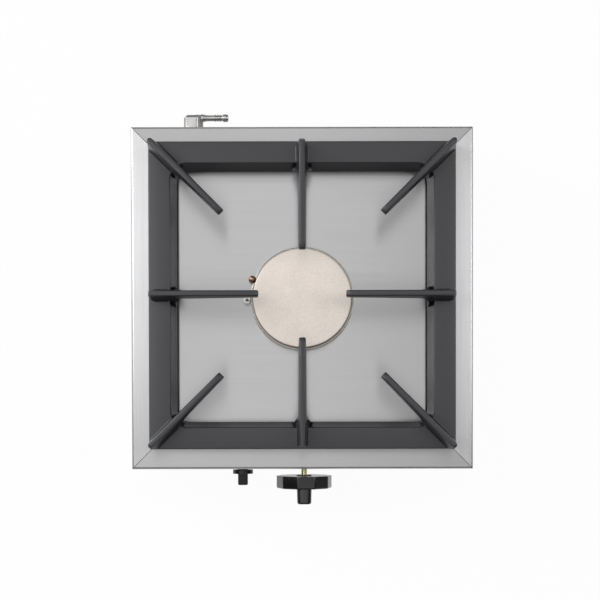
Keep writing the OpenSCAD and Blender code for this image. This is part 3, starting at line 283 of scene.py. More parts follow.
def finish_mesh(name, points, faces, material, body, stands_for, slot, sharp_degrees=38.0):
    """Make an object of the points and faces, shade it smooth and let it ride on its body."""
    mesh = bpy.data.meshes.new(name)
    mesh.from_pydata([tuple(p) for p in points], [], faces)
    mesh.validate()
    mesh.polygons.foreach_set("use_smooth", [True] * len(mesh.polygons))
    mesh.set_sharp_from_angle(angle=radians(sharp_degrees))
    mesh.materials.append(material)
    mesh.update()
    piece = bpy.data.objects.new(name, mesh)
    bpy.context.scene.collection.objects.link(piece)
    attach(piece, body)
    if stands_for:
        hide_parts(*stands_for)
    return piece


def skin(rings, loop=False):
    """Faces between rings of equal length; loop joins the last ring to the first, or else both are closed."""
    size = len(rings[0])
    points = [Vector(p) for ring in rings for p in ring]
    faces = []
    last = len(rings) if loop else len(rings) - 1
    for r in range(last):
        a, b = r * size, ((r + 1) % len(rings)) * size
        for i in range(size):
            j = (i + 1) % size
            faces.append((a + i, a + j, b + j, b + i))
    if not loop:
        faces.append(tuple(reversed(range(size))))
        faces.append(tuple(range((len(rings) - 1) * size, len(rings) * size)))
    return points, faces


def joined(parts):
    """One list of points and faces from several."""
    points, faces = [], []
    for more_points, more_faces in parts:
        start = len(points)
        points.extend(more_points)
        faces.extend(tuple(i + start for i in face) for face in more_faces)
    return points, faces


def outward(points, faces):
    """The same faces, turned so that the closed form has a positive volume."""
    volume = 0.0
    for face in faces:
        for k in range(1, len(face) - 1):
            volume += points[face[0]].dot(points[face[k]].cross(points[face[k + 1]]))
    if volume < 0:
        faces = [tuple(reversed(face)) for face in faces]
    return points, faces


def round_square(half_x, half_y, radius, steps=8):
    """Corner points of a rectangle with round corners, anticlockwise from the +X side."""
    ring = []
    for quarter, (sx, sy) in enumerate(((1, 1), (-1, 1), (-1, -1), (1, -1))):
        for k in range(steps + 1):
            a = radians(90) * (quarter + k / steps)
            ring.append((sx * (half_x - radius) + radius * cos(a), sy * (half_y - radius) + radius * sin(a)))
    return ring


def arc(centre, radius, start, end, steps):
    """Points of an arc in a plane, both ends included; angles in degrees."""
    return [(centre[0] + radius * cos(radians(start + (end - start) * k / steps)),
             centre[1] + radius * sin(radians(start + (end - start) * k / steps)))
            for k in range(steps + 1)]


def turned(profile, segments=96):
    """Faces of a turned form; profile is a list of (radius, height) from axis to axis."""
    rings = []
    for radius, height in profile:
        radius = max(radius, 0.01 * MM)
        rings.append([(radius * cos(2 * pi * i / segments), radius * sin(2 * pi * i / segments), height)
                      for i in range(segments)])
    return outward(*skin(rings))


def soft_box(low, high, radius, steps=4):
    """Box from its low to its high corner with all its edges rounded."""
    middle = ((low[0] + high[0]) / 2, (low[1] + high[1]) / 2)
    half_x, half_y = (high[0] - low[0]) / 2, (high[1] - low[1]) / 2
    rings = []
    bends = [90 * k / steps for k in range(steps + 1)]
    for z_base, sign in ((low[2] + radius, -1), (high[2] - radius, 1)):
        for a in (reversed(bends) if sign < 0 else bends):
            inset = radius * (1 - cos(radians(a)))
            z = z_base + sign * radius * sin(radians(a))
            # The corner shrinks with the inset, but never to nothing
            corner = radius * 1.02 - inset * 0.98
            rings.append([(middle[0] + x, middle[1] + y, z) for x, y in
                          round_square(half_x - inset, half_y - inset, corner, 6)])
    return outward(*skin(rings))


def placed(part, matrix):
    """The same part, moved by a matrix."""
    points, faces = part
    return [matrix @ p for p in points], faces


# Sizes and colours that a user would change

class BurnerSizes(bpy.types.PropertyGroup):
    """Sizes of the finer pieces"""
    cast_edge: bpy.props.FloatProperty(
        name="Cast edge", description="Rounding of the pan support's edges", default=1.4 * MM,
        min=0.3 * MM, max=2.5 * MM, unit="LENGTH")
    band_width: bpy.props.FloatProperty(
        name="Band width", description="Width of the pan support's flat band", default=25.4 * MM,
        unit="LENGTH")
    band_rise: bpy.props.FloatProperty(
        name="Band rise", description="Height of the band above the rim", default=16 * MM, unit="LENGTH")
    rib_rise: bpy.props.FloatProperty(
        name="Rib rise", description="Height of the ribs above the band", default=25 * MM, unit="LENGTH")
    rib_width: bpy.props.FloatProperty(
        name="Rib width", description="Width of a rib at its top", default=6.4 * MM, unit="LENGTH")
    rib_draft: bpy.props.FloatProperty(
        name="Rib draft", description="Draft of a rib's sides", default=radians(7), subtype="ANGLE")
    knob_facets: bpy.props.IntProperty(
        name="Knob facets", description="Flat facets round the knob's disc", default=10, min=6, max=16)


class BurnerColours(bpy.types.PropertyGroup):
    """Colours of the visible finishes"""
    casing: bpy.props.FloatVectorProperty(
        name="Casing", description="Brushed stainless steel", subtype="COLOR", default=linear("#b6b6b7"))
    tray: bpy.props.FloatVectorProperty(
        name="Drip tray", description="Cold-rolled stainless steel", subtype="COLOR",
        default=linear("#c0c0c0"))
    pan_support: bpy.props.FloatVectorProperty(
        name="Pan support", description="Black enamel on cast iron", subtype="COLOR",
        default=linear("#25252a"))
    cap: bpy.props.FloatVectorProperty(
        name="Burner cap", description="Sand-cast alloy", subtype="COLOR", default=linear("#ebe1d9"))
    # The burner operator darkens this colour with painted shade under the cap's edge
    crown: bpy.props.FloatVectorProperty(
        name="Burner crown", description="Die-cast alloy, with painted shade under the cap", subtype="COLOR",
        default=linear("#c4bdb6"))
    knob: bpy.props.FloatVectorProperty(
        name="Knob", description="Moulded phenolic", subtype="COLOR", default=linear("#0c0c0c"))
    brass: bpy.props.FloatVectorProperty(
        name="Brass", description="Machined brass", subtype="COLOR", default=linear("#c9a95f"))


def sizes():
    return bpy.context.scene.burner_sizes


def colours():
    return bpy.context.scene.burner_colours


def repaint(material, *nodes):
    """Give CAD nodes a better material."""
    for name in nodes:
        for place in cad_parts[name].material_slots:
            place.material = material


# Pan support

def support_frame(edge):
    """The square band with its skirt and slanted lip, as one closed ring of rings."""
    half = (GRATE_HIGH.x - GRATE_LOW.x) / 2
    rim = CASE_HIGH.z
    top = rim + sizes().band_rise
    inner = half - sizes().band_width
    lip_t, skirt_t, band_t = 4.5 * MM, 5 * MM, 6 * MM
    outer_corner, inner_corner = half - 2.5 * MM, inner - 20 * MM
    low = top - LIP_DROP
    section = [(half - skirt_t, rim), (half, rim)]
    section += [(half, top - edge)] + arc((half - edge, top - edge), edge, 15, 90, 4)
    section += [(inner + edge, top)] + arc((inner + edge, top - edge), edge, 105, 180, 4)
    section += [(inner - LIP_SLANT + 0.4 * MM, low + edge)]
    section += [(inner - LIP_SLANT, low + 0.5 * MM), (inner - LIP_SLANT + 0.6 * MM, low)]
    section += [(inner - LIP_SLANT + lip_t, low), (inner - LIP_SLANT * 0.33 + lip_t, top - band_t)]
    section += [(half - skirt_t, top - band_t)]
    rings = []
    for x, z in section:
        outside = x > (inner + half) / 2
        centre = outer_corner if outside else inner_corner
        ring = round_square(x, x, max(x - centre, 0.3 * MM), 10)
        rings.append([(px, py, z) for px, py in ring])
    return outward(*skin(rings, loop=True))


def rib(tip, end, root, edge, round_end, flare):
    """A rib along +X with drafted sides; its underside drops to the lip near its root."""
    band_top = CASE_HIGH.z + sizes().band_rise
    top = band_top + sizes().rib_rise
    lip_low = band_top - LIP_DROP
    tip_depth, root_depth, root_r = 9 * MM, 14 * MM, 10 * MM
    nose, nose_drop, end_drop = 8 * MM, 1 * MM, 3 * MM
    half = sizes().rib_width / 2
    slope = tan(sizes().rib_draft)
    under = top - root_depth
    sunk = band_top - 3 * MM

    def section(x, high, low, share=1.0, spread_out=0.0):
        """Closed section at x, narrowed to a share of its width and spread out at its foot."""
        def wide(z):
            return (half + (top - z) * slope) * share
        e = min(edge, (high - low) / 3, wide(high) * 0.9)
        foot_high = min(9 * MM, (high - low) / 2)
        right = [(wide(low) + spread_out - e * 0.3, low), (wide(low + e * 0.3) + spread_out, low + e * 0.3),
                 (wide(low + foot_high / 2) + spread_out * 0.3, low + foot_high / 2),
                 (wide(low + foot_high), low + foot_high)]
        right += [(wide(high - e) - e + e * cos(radians(a)), high - e + e * sin(radians(a)))
                  for a in (0, 30, 60, 90)]
        left = [(-y, z) for y, z in reversed(right)]
        return [(x, y, z) for y, z in right + left]

    rings = [section(tip, top - nose_drop - edge, top - tip_depth + edge * 0.7, 0.7),
             section(tip + 0.4 * MM, top - nose_drop - edge * 0.4, top - tip_depth + edge * 0.25, 0.88),
             section(tip + edge, top - nose_drop, top - tip_depth)]
    rings.append(section(tip + nose, top, top - tip_depth - 0.5 * MM))
    rings.append(section(root - root_r, top, under))
    for a in (75, 60, 45, 30, 15, 0):
        x = root - root_r + root_r * cos(radians(a))
        low = under - root_r + root_r * sin(radians(a))
        rings.append(section(x, top, low, 1.0, flare * cos(radians(a)) ** 2))
    rings.append(section(root + 0.3 * MM, top, lip_low + 2 * MM, 1.0, flare))
    rings.append(section(root + 2.2 * MM, top, lip_low + 2 * MM, 1.0, flare * 0.7))
    rings.append(section(root + 7 * MM, top, sunk))
    if round_end:
        radius = half + edge * 0.5
        for a in (0, 15, 30, 45, 60, 72, 82):
            drop = 1.2 * MM * (1 - cos(radians(a)))
            rings.append(section(end - radius * (1 - sin(radians(a))), top - drop, sunk, cos(radians(a))))
    else:
        rings.append(section(end - end_drop, top, sunk))
        rings.append(section(end - 0.8 * MM, top - end_drop + 0.8 * MM, sunk, 0.9))
        rings.append(section(end, top - end_drop - 0.6 * MM, sunk, 0.7))
    forms = [outward(*skin(rings))]
    foot = 1.5 * MM
    face = half + (top - band_top - foot) * slope
    fillet = [(face - 1 * MM, band_top - 1 * MM), (face + foot, band_top - 0.3 * MM)]
    fillet += [(face + foot * (1 - sin(radians(a))), band_top + foot * (1 - cos(radians(a))))
               for a in (0, 22, 45, 68, 90)]
    fillet.append((face - 1 * MM, band_top + foot))
    for side in (1, -1):
        rings = [[(x, side * y, z) for y, z in fillet] for x in (root + 8.5 * MM, end - 4 * MM)]
        forms.append(outward(*skin(rings)))
    return joined(forms)


class BURNER_OT_pan_support(bpy.types.Operator):
    """Build the pan support with rounded cast edges"""
    bl_idname = "burner.pan_support"
    bl_label = "Pan support"

    def execute(self, context):
        edge = sizes().cast_edge
        half = (GRATE_HIGH.x - GRATE_LOW.x) / 2
        lip = half - sizes().band_width - LIP_SLANT
        parts = [support_frame(edge)]
        corner_root = (lip - 14 * MM) * sqrt(2) + 14 * MM
        corner_end = (half - RIB_END_IN) * sqrt(2) - 0.5 * MM
        for k in range(4):
            turn = Matrix.Rotation(k * pi / 2, 4, "Z")
            parts.append(placed(rib(LONG_RIB_TIP, half - RIB_END_IN, lip, edge, False, 4 * MM), turn))
            turn = Matrix.Rotation(k * pi / 2 + pi / 4, 4, "Z")
            parts.append(placed(rib(CORNER_RIB_TIP, corner_end, corner_root, edge, True, 0), turn))
        points, faces = joined(parts)
        points = [p + GRATE_MIDDLE for p in points]
        # Sand-cast iron under satin black enamel: near black, with soft grey light on flats and edges
        enamel = cast_surface("Cast iron, sand cast, satin black enamel", colours().pan_support, 0.0, 0.38,
                              1.6, 0.06, 0.2, 0.1, None, 1.62)
        finish_mesh("pan_support_casting", points, faces, enamel, "pan_support", ["pan_support"], "pan_iron")
        return {"FINISHED"}


# Burner

class BURNER_OT_burner(bpy.types.Operator):
    """Turn the burner cap and finish the crown, the bowl and the sensors"""
    bl_idname = "burner.burner"
    bl_label = "Burner"

    def execute(self, context):
        radius = (CAP_HIGH.x - CAP_LOW.x) / 2
        thickness, crowning, edge_r = 4.5 * MM, 1.0 * MM, 1.3 * MM
        top = CAP_HIGH.z
        under, edge_top = top - thickness, top - crowning
        profile = [(0, under), (radius - 0.9 * MM, under), (radius - 0.3 * MM, under + 0.3 * MM),
                   (radius, under + 1.0 * MM), (radius, edge_top - edge_r)]
        profile += arc((radius - edge_r, edge_top - edge_r), edge_r, 15, 75, 4)
        profile += [((radius - edge_r) * f, top - crowning * f * f)
                    for f in (1, 0.94, 0.85, 0.7, 0.5, 0.3, 0.1, 0)]
        cap = turned(profile, 160)
        # Three lugs under the cap centre it in the crown
        lug_r = 46.2 * MM
        lugs = []
        for k in range(3):
            outline = [(x + lug_r, y) for x, y in round_square(2.2 * MM, 2 * MM, 0.5 * MM, 3)]
            rings = [[(x, y, z) for x, y in outline] for z in (under - 5 * MM, under + 0.5 * MM)]
            lugs.append(placed(outward(*skin(rings)), Matrix.Rotation(radians(30 + 120 * k), 4, "Z")))
        points, faces = joined([cap] + lugs)
        points = [p + CAP_MIDDLE for p in points]
        # Sand-cast alloy: pale and matt, with the sand's grains as soft specks
        sand_cast = cast_surface("Aluminium bronze, sand cast", colours().cap, 0.3, 0.5, 2.0, 0.12, 0.35,
                                 0.06, linear("#e4d9cf"))
        finish_mesh("burner_cap_casting", points, faces, sand_cast, "burner_cap", ["burner_cap"],
                    "cap_alloy")
        # Die-cast alloy: satin grey, with painted shade beside the ports, under the cap's edge
        die_cast = cast_surface("Aluminium, die cast, with painted shade under the cap", colours().crown, 0.9, 0.42, 2.4, 0.05,
                                0.3, 0.1)
        # Painted shade: the crown is darker under the cap's edge
        self.paint_cap_shade(die_cast)
        repaint(die_cast, "burner_crown")
        self.flange_edge(under)
        # Die-cast alloy away from the flame: plain dull grey
        bowl = cast_surface("Aluminium, die cast", linear("#9b9b9a"), 0.9, 0.5, 2.0, 0.08, 0.4, 0.08)
        repaint(bowl, "burner_bowl")
        # Fired alumina: white with a soft shine
        ceramic = smooth_moulding("Alumina, fired", linear("#fbfaf7"), 0.3)
        repaint(ceramic, "electrode_ceramic")
        # Drawn wire that the flame has darkened: warm grey with a dull shine
        darkened = turned_metal("Electrode wire, heat darkened", linear("#8f8a87"), 0.4)
        repaint(darkened, "electrode_wire")
        # Copper that the flame has darkened: brown with a dull shine
        probe = turned_metal("Copper, heat darkened", linear("#b08d7d"), 0.38)
        repaint(probe, "thermocouple")
        return {"FINISHED"}

    def paint_cap_shade(self, material):
        """Paint shade on the material near the burner's axis, under the cap's edge, up to the edge of the
        flange.
        """
        tree = material.node_tree
        shader = next(n for n in tree.nodes if n.type == "BSDF_PRINCIPLED")
        colour = shader.inputs["Base Color"].links[0].from_socket
        place = add_node(tree, "ShaderNodeTexCoord").outputs["Object"]
        flat = add_node(tree, "ShaderNodeVectorMath", {1: (1, 1, 0)}, [(place, 0)], operation="MULTIPLY")
        middle = (CAP_MIDDLE.x, CAP_MIDDLE.y, 0)
        reach = add_node(tree, "ShaderNodeVectorMath", {1: middle}, [(flat.outputs[0], 0)],
                         operation="DISTANCE")
        inner, outer = CAP_SHADE_RADII
        share = add_node(tree, "ShaderNodeMapRange", {"From Min": inner, "From Max": outer},
                         [(reach.outputs["Value"], "Value")])
        # Painted shade: dark near the axis, the crown's own colour further out
        painted_shade = add_node(tree, "ShaderNodeValToRGB", links=[(share.outputs["Result"], "Fac")],
                         stops=((0.0, linear("#9a938e")), (1.0, linear("#ffffff"))))
        mixed = add_node(tree, "ShaderNodeMix", {0: 1.0},
                         [(colour, MIX_A), (painted_shade.outputs["Color"], MIX_B)],
                         data_type="RGBA", blend_type="MULTIPLY")
        tree.links.new(mixed.outputs[MIX_RESULT], shader.inputs["Base Color"])

    def flange_edge(self, port_top):
        """Low bright bead round the crown's flange, left out where the two sensors stand."""
        outer = (CROWN_HIGH.x - CROWN_LOW.x) / 2 - 0.05 * MM
        flange_top = port_top - PORT_WALL
        section = [(outer - 1.1 * MM, -0.5 * MM), (outer, -0.5 * MM)]
        section += arc((outer - 0.55 * MM, 0.0), 0.55 * MM, 0, 180, 8)
        gaps = []
        for sensor in ("thermocouple", "electrode_ceramic"):
            low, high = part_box(sensor)
            x, y = (low.x + high.x) / 2 - CAP_MIDDLE.x, (low.y + high.y) / 2 - CAP_MIDDLE.y
            gaps.append(degrees(atan2(y, x)) % 360)
        gaps.sort()
        clear = 5.0  # degrees on each side of a sensor
        parts = []
        for start, end in ((gaps[0] + clear, gaps[1] - clear), (gaps[1] + clear, gaps[0] + 360 - clear)):
            steps = max(4, int((end - start) / 2))
            rings = []
            for k in range(steps + 1):
                a = radians(start + (end - start) * k / steps)
                rings.append([(r * cos(a), r * sin(a), flange_top + z) for r, z in section])
            parts.append(outward(*skin(rings)))
        points, faces = joined(parts)
        points = [p + CAP_MIDDLE for p in points]
        # Turned edge: bright, with fine tool rings
        bright = turned_metal("Aluminium, turned edge", linear("#d8d5d1"), 0.25)
        finish_mesh("burner_crown_bead", points, faces, bright, "burner_crown", None, "crown_alloy")


# Casing and tray

class BURNER_OT_casing(bpy.types.Operator):
    """Finish the casing, the drip tray, the base, the feet and the screws"""
    bl_idname = "burner.casing"
    bl_label = "Casing and tray"

    def execute(self, context):
        # Brushed stainless sheet: the lines run along each panel and soften what it mirrors
        along_x = brushed_steel("Stainless steel, brushed left to right", colours().casing, "X", 0.34)
        along_y = brushed_steel("Stainless steel, brushed front to back", colours().casing, "Y", 0.34)
        repaint(along_x, "front_panel", "rear_panel")
        repaint(along_y, "left_panel", "right_panel")
        # Cold-rolled stainless sheet: the rolling lines run left to right and hardly show
        tray = brushed_steel("Stainless steel, cold rolled", colours().tray, "X", 0.32, 0.02, 2.0, 120.0,
                             0.95)
        repaint(tray, "drip_tray")
        # Galvanised sheet: dull grey with the zinc's soft patches
        galvanised = galvanised_sheet("Steel, hot-dip galvanised", linear("#a8abad"))
        repaint(galvanised, "base_plate", "burner_bracket_left", "burner_bracket_right", "tap_bracket",
                "sensor_bracket", "air_shutter")
        # Zinc-plated screws: bright grey, slightly blue
        zinc = turned_metal("Steel, zinc plated", linear("#b3b7bb"), 0.32)
        repaint(zinc, "base_screws", "foot_bolts", "bracket_screws", "tap_screws", "sensor_screw",
                "shutter_screw", "thermocouple_nut", "inlet_nut")
        # Moulded rubber: black and matt
        rubber = smooth_moulding("Rubber, moulded", linear("#222223"), 0.75)
        repaint(rubber, "foot_front_left", "foot_front_right", "foot_rear_left", "foot_rear_right")
        return {"FINISHED"}


# Gas line

class BURNER_OT_gas_line(bpy.types.Operator):
    """Finish the tap, the pipe, the leads and the inlet"""
    bl_idname = "burner.gas_line"
    bl_label = "Gas line"

    def execute(self, context):
        # Machined brass: warm yellow with turning marks
        brass = turned_metal("Brass, machined", colours().brass, 0.3)
        repaint(brass, "gas_tap", "tap_bonnet", "tap_plug", "injector", "pipe_nut_tap", "pipe_nut_rear",
                "inlet_fitting")
        # Turned brass, paler and greener than the rest
        spindle = turned_metal("Brass, turned", linear("#d6d4a4"), 0.3)
        repaint(spindle, "tap_spindle")
        # Drawn copper: reddish and satin
        copper = turned_metal("Copper, drawn", linear("#c98a66"), 0.35)
        repaint(copper, "supply_pipe", "thermocouple_lead")
        # Nickel-plated brass: bright grey that mirrors what is round it
        nickel = turned_metal("Brass, nickel plated", linear("#c4c3c2"), 0.28)
        self.elbow(nickel)
        # Nickel-plated steel: bright grey with a satin shine
        plated = turned_metal("Steel, nickel plated", linear("#bdbdbc"), 0.25)
        repaint(plated, "magnet_unit")
        # Drawn wire: mid grey with fine streaks
        wire = turned_metal("Spring steel, drawn", linear("#a5a6a8"), 0.35)
        self.coil("tap_spring", wire, 0.9 * MM, 5, "tap_plug", "spindle_push", 3.5 * MM)
        self.coil("igniter_spring", wire, 0.8 * MM, 6, "casing", "igniter_push", 3.8 * MM)
        # Silicone sleeve: dull red
        sleeve = smooth_moulding("Silicone, extruded", linear("#a5392c"), 0.55)
        repaint(sleeve, "ignition_lead")
        return {"FINISHED"}

    def coil(self, node, steel, wire, turns, body, joint, travel):
        """Return spring with closed ends, drawn at its rest length; the real one shortens towards its rear
        end as its joint is pushed.
        """
        low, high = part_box(node)
        middle = (low + high) / 2
        radius = (high.x - low.x - wire) / 2
        steps, corners = 24, 8
        span = high.y - low.y - wire
        rings = []
        for i in range(turns * steps + 1):
            turn = i / steps
            # The first and the last turn lie flat against what they push on
            rise = min(max((turn - 0.8) / (turns - 1.6), 0), 1)
            a = 2 * pi * turn
            along = low.y + wire / 2 + span * rise
            ring = []
            for k in range(corners):
                round_wire = 2 * pi * k / corners
                reach = radius + wire / 2 * cos(round_wire)
                ring.append((middle.x + reach * cos(a), along + wire / 2 * sin(round_wire),
                             middle.z + reach * sin(a)))
            rings.append(ring)
        piece = finish_mesh(node + "_coil", *outward(*skin(rings)), steel, body, [node], "spring_steel")
        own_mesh(piece)

    def elbow(self, nickel):
        """Cast elbow with a machined pad, and a turned collar and hose tail."""
        low, high = ELBOW_LOW, ELBOW_HIGH
        axis_x = low.x + ELBOW_HALF
        middle_z = (low.z + high.z) / 2
        # The hose tail's axis, and the rear end of the casting
        tail_y, end = high.y - 5 * MM, high.y - 3.1 * MM
        # Square with a hollow slope towards the left, and a hollow flank towards the tail
        outline = [(-12.0, -7.5), (-12.0, 4.6), (-10.9, 6.2), (-9.8, 9.3), (5.4, 9.8), (7.0, 8.6),
                   (8.2, 5.0), (10.4, 3.2), (10.7, 1.2), (10.7, -0.9), (6.2, -10.2), (-10.2, -10.2)]
        # Each ring is the outline at y, drawn in to a share of its size and moved aside towards the tail
        rings = []
        for y, share, aside in ((low.y, 0.96, 0), (low.y + 0.6 * MM, 1.0, 0), (end - 2.9 * MM, 1.0, 0),
                                (end - 0.5 * MM, 0.87, 0.6), (end, 0.8, 0.9)):
            rings.append([(axis_x + (x * share + aside) * MM, y, middle_z + z * share * MM)
                          for x, z in outline])
        # Cast skin: grey and dull, under the machined faces; its darker grey is also painted shade on the
        # elbow's sides
        cast = cast_surface("Brass, sand cast, nickel plated, with painted shade", linear("#a9a9ab"), 1.0, 0.5, 1.4, 0.08,
                            0.3, 0.12)
        finish_mesh("inlet_elbow_casting", *outward(*skin(rings)), cast, "casing", ["inlet_elbow"],
                    "elbow_nickel", 20.0)
        pad = soft_box((low.x + 2.9 * MM, low.y + 0.9 * MM, high.z - 1.6 * MM),
                       (low.x + 15.6 * MM, end - 3.0 * MM, high.z - 0.05 * MM), 0.45 * MM, 3)
        ridge = soft_box((low.x + 16.2 * MM, low.y + 0.6 * MM, high.z - 2.0 * MM),
                         (low.x + 17.6 * MM, end - 3.0 * MM, high.z - 0.1 * MM), 0.45 * MM, 3)
        across = Matrix.Translation(Vector((low.x, tail_y, middle_z))) @ Matrix.Rotation(pi / 2, 4, "Y")
        length = high.x - low.x
        bead, barb_n, barb_pitch = 7.0 * MM, 3, 3.2 * MM
        barbs = length - bead - barb_n * barb_pitch
        # Collar, neck, barbs and end bead, as (radius, distance from the elbow's left face)
        tail = [(0, 14 * MM), (4.3 * MM, 14 * MM), (4.3 * MM, 20.2 * MM), (4.8 * MM, 20.7 * MM),
                (4.8 * MM, 22.9 * MM), (4.4 * MM, 23.5 * MM), (4.3 * MM, 24.6 * MM), (3.7 * MM, 27.2 * MM),
                (3.6 * MM, barbs)]
        for k in range(barb_n):
            start = barbs + k * barb_pitch
            tail += [(4.25 * MM, start + 0.15 * MM), (4.25 * MM, start + 0.6 * MM),
                     (3.3 * MM, start + 2.9 * MM)]
        tail += [(3.55 * MM, length - bead), (4.5 * MM, length - bead + 1.0 * MM),
                 (4.7 * MM, length - bead + 2.0 * MM), (4.7 * MM, length - 2.8 * MM),
                 (4.3 * MM, length - 1.0 * MM), (3.8 * MM, length), (2.2 * MM, length),
                 (2.2 * MM, length - 5 * MM), (0, length - 5 * MM)]
        parts = [pad, ridge, placed(turned(tail, 64), across)]
        finish_mesh("inlet_hose_tail", *joined(parts), nickel, "casing", None, "elbow_nickel", 30.0)


# Knob

def faceted_radius(angle, radius, facets, turn, stand_out):
    """The disc's radius at an angle, cut by flat facets whose edges stay round."""
    step = 2 * pi / facets
    off = (angle - pi / 2 + turn + step / 2) % step - step / 2
    return min(radius, (radius * cos(step / 2) + stand_out) / cos(off))


def knob_disc(radius, front):
    """The faceted disc and its boss; the axis is local Z with the casing behind z = 0."""
    around = 360
    outline = [faceted_radius(2 * pi * i / around, radius, sizes().knob_facets, FACET_TURN, FACET_OUT)
               for i in range(around)]
    rings = []

    def ring(height, inset=None, plain=None):
        """Add a ring: the outline drawn in by inset, or a plain circle."""
        reach = [plain if plain else r - inset for r in outline]
        rings.append([(r * cos(2 * pi * i / around), r * sin(2 * pi * i / around), height)
                      for i, r in enumerate(reach)])

    back_round, front_round, dome = 0.4 * MM, 2.0 * MM, 0.3 * MM
    ring(0.3 * MM, plain=0.1 * MM)
    ring(0.0, plain=BOSS_R - 0.4 * MM)
    ring(0.4 * MM, plain=BOSS_R)
    ring(BOSS_T, plain=BOSS_R)
    ring(BOSS_T, inset=back_round + 0.2 * MM)
    for a in (15, 30, 45, 60, 75, 90):
        ring(BOSS_T + back_round * (1 - cos(radians(a))), inset=back_round * (1 - sin(radians(a))))
    for a in (0, 15, 30, 45, 60, 75, 90):
        ring(front - dome - front_round * (1 - sin(radians(a))),
             inset=front_round * (1 - cos(radians(a))))
    ring(front - dome * 0.4, inset=10 * MM)
    ring(front, plain=12 * MM)
    ring(front, plain=0.1 * MM)
    return outward(*skin(rings))


def grip_bar(low, top, width, length):
    """The bar across the disc, with a small fillet at its foot and round edges at its end."""
    # Foot of the bar, as (height, millimetres beyond the bar's width)
    levels = [(low, 1.6), (low + 0.5 * MM, 0.9), (low + 1.4 * MM, 0.45), (low + 3 * MM, 0.35)]
    edge = 2.4 * MM
    rings = []
    for z, out_mm in levels:
        half_w = width / 2 + out_mm * MM
        half_l = length / 2 - 0.4 * MM + out_mm * 0.2 * MM
        rings.append([(x, y, z) for x, y in round_square(half_w, half_l, 5.0 * MM, 6)])
    for a in (0, 20, 40, 60, 80, 90):
        inset = edge * (1 - cos(radians(a)))
        rings.append([(x, y, top - edge + edge * sin(radians(a))) for x, y in
                      round_square(width / 2 - inset, length / 2 - inset, 4.6 * MM - inset * 0.8, 6)])
    return outward(*skin(rings))


class BURNER_OT_knob(bpy.types.Operator):
    """Build the control knob with its facets and its grip bar"""
    bl_idname = "burner.knob"
    bl_label = "Knob"

    def execute(self, context):
        radius = (KNOB_HIGH.x - KNOB_LOW.x) / 2
        depth = KNOB_HIGH.y - KNOB_LOW.y
        front = depth - GRIP_H
        disc = knob_disc(radius, front)
        grip = grip_bar(front - 1 * MM, depth, GRIP_W, GRIP_LEN)
        centre = Vector(((KNOB_LOW.x + KNOB_HIGH.x) / 2, KNOB_HIGH.y, GAS_AXIS_Z))
        turn = Matrix.Translation(centre) @ Matrix.Rotation(pi / 2, 4, "X")
        points, faces = placed(joined([disc, grip]), turn)
        # Moulded phenolic: black, with a broad soft sheen on its round edges
        phenolic = smooth_moulding("Phenolic, moulded", colours().knob, 0.2, 1.62, 0.7, 0.03)
        finish_mesh("knob_moulding", points, faces, phenolic, "spindle", ["knob"], "knob_plastic")
        return {"FINISHED"}


# Igniter

class BURNER_OT_igniter(bpy.types.Operator):
    """Finish the igniter's body and collar nut, and build its push button"""
    bl_idname = "burner.igniter"
    bl_label = "Igniter"

    def execute(self, context):
        # Moulded nylon: black with a soft gloss
        moulded = smooth_moulding("Nylon, moulded", linear("#0d0d0e"), 0.3)
        # The button's plastic is a little greyer and has a satin face
        satin = smooth_moulding("Nylon, moulded, satin", linear("#131314"), 0.5)
        repaint(moulded, "igniter_body", "igniter_nut")
        centre = (BUTTON_LOW + BUTTON_HIGH) / 2
        # The igniter's axis is the middle of its round stop, and the button is as wide all round
        half, stop_r, stem_r = 5.8 * MM, 4.5 * MM, 3 * MM
        back = NUT_LOW.y + 0.6 * MM
        face = BUTTON_LOW.y
        rings = []
        for y, inset in ((back, 0.0), (face + 1.2 * MM, 0.0), (face + 0.35 * MM, 0.35 * MM),
                         (face, 1.2 * MM), (face + 0.25 * MM, 2.2 * MM), (face + 0.45 * MM, 4.5 * MM)):
            corner = max(1.6 * MM - inset * 0.6, 0.5 * MM)
            rings.append([(centre.x + x, y, centre.z + z) for x, z in
                          round_square(half - inset, half - inset, corner, 5)])
        end = BUTTON_HIGH.y - back
        stop_at = end - 1.5 * MM
        stem = turned([(0, 0), (stem_r, 0), (stem_r, stop_at), (stop_r, stop_at), (stop_r, end), (0, end)],
                      48)
        turn = Matrix.Translation(Vector((centre.x, back, centre.z))) @ Matrix.Rotation(-pi / 2, 4, "X")
        points, faces = joined([outward(*skin(rings)), placed(stem, turn)])
        finish_mesh("igniter_button_moulding", points, faces, satin, "igniter_button", ["igniter_button"],
                    "button_plastic")
        return {"FINISHED"}


# Stage: floor, light and camera

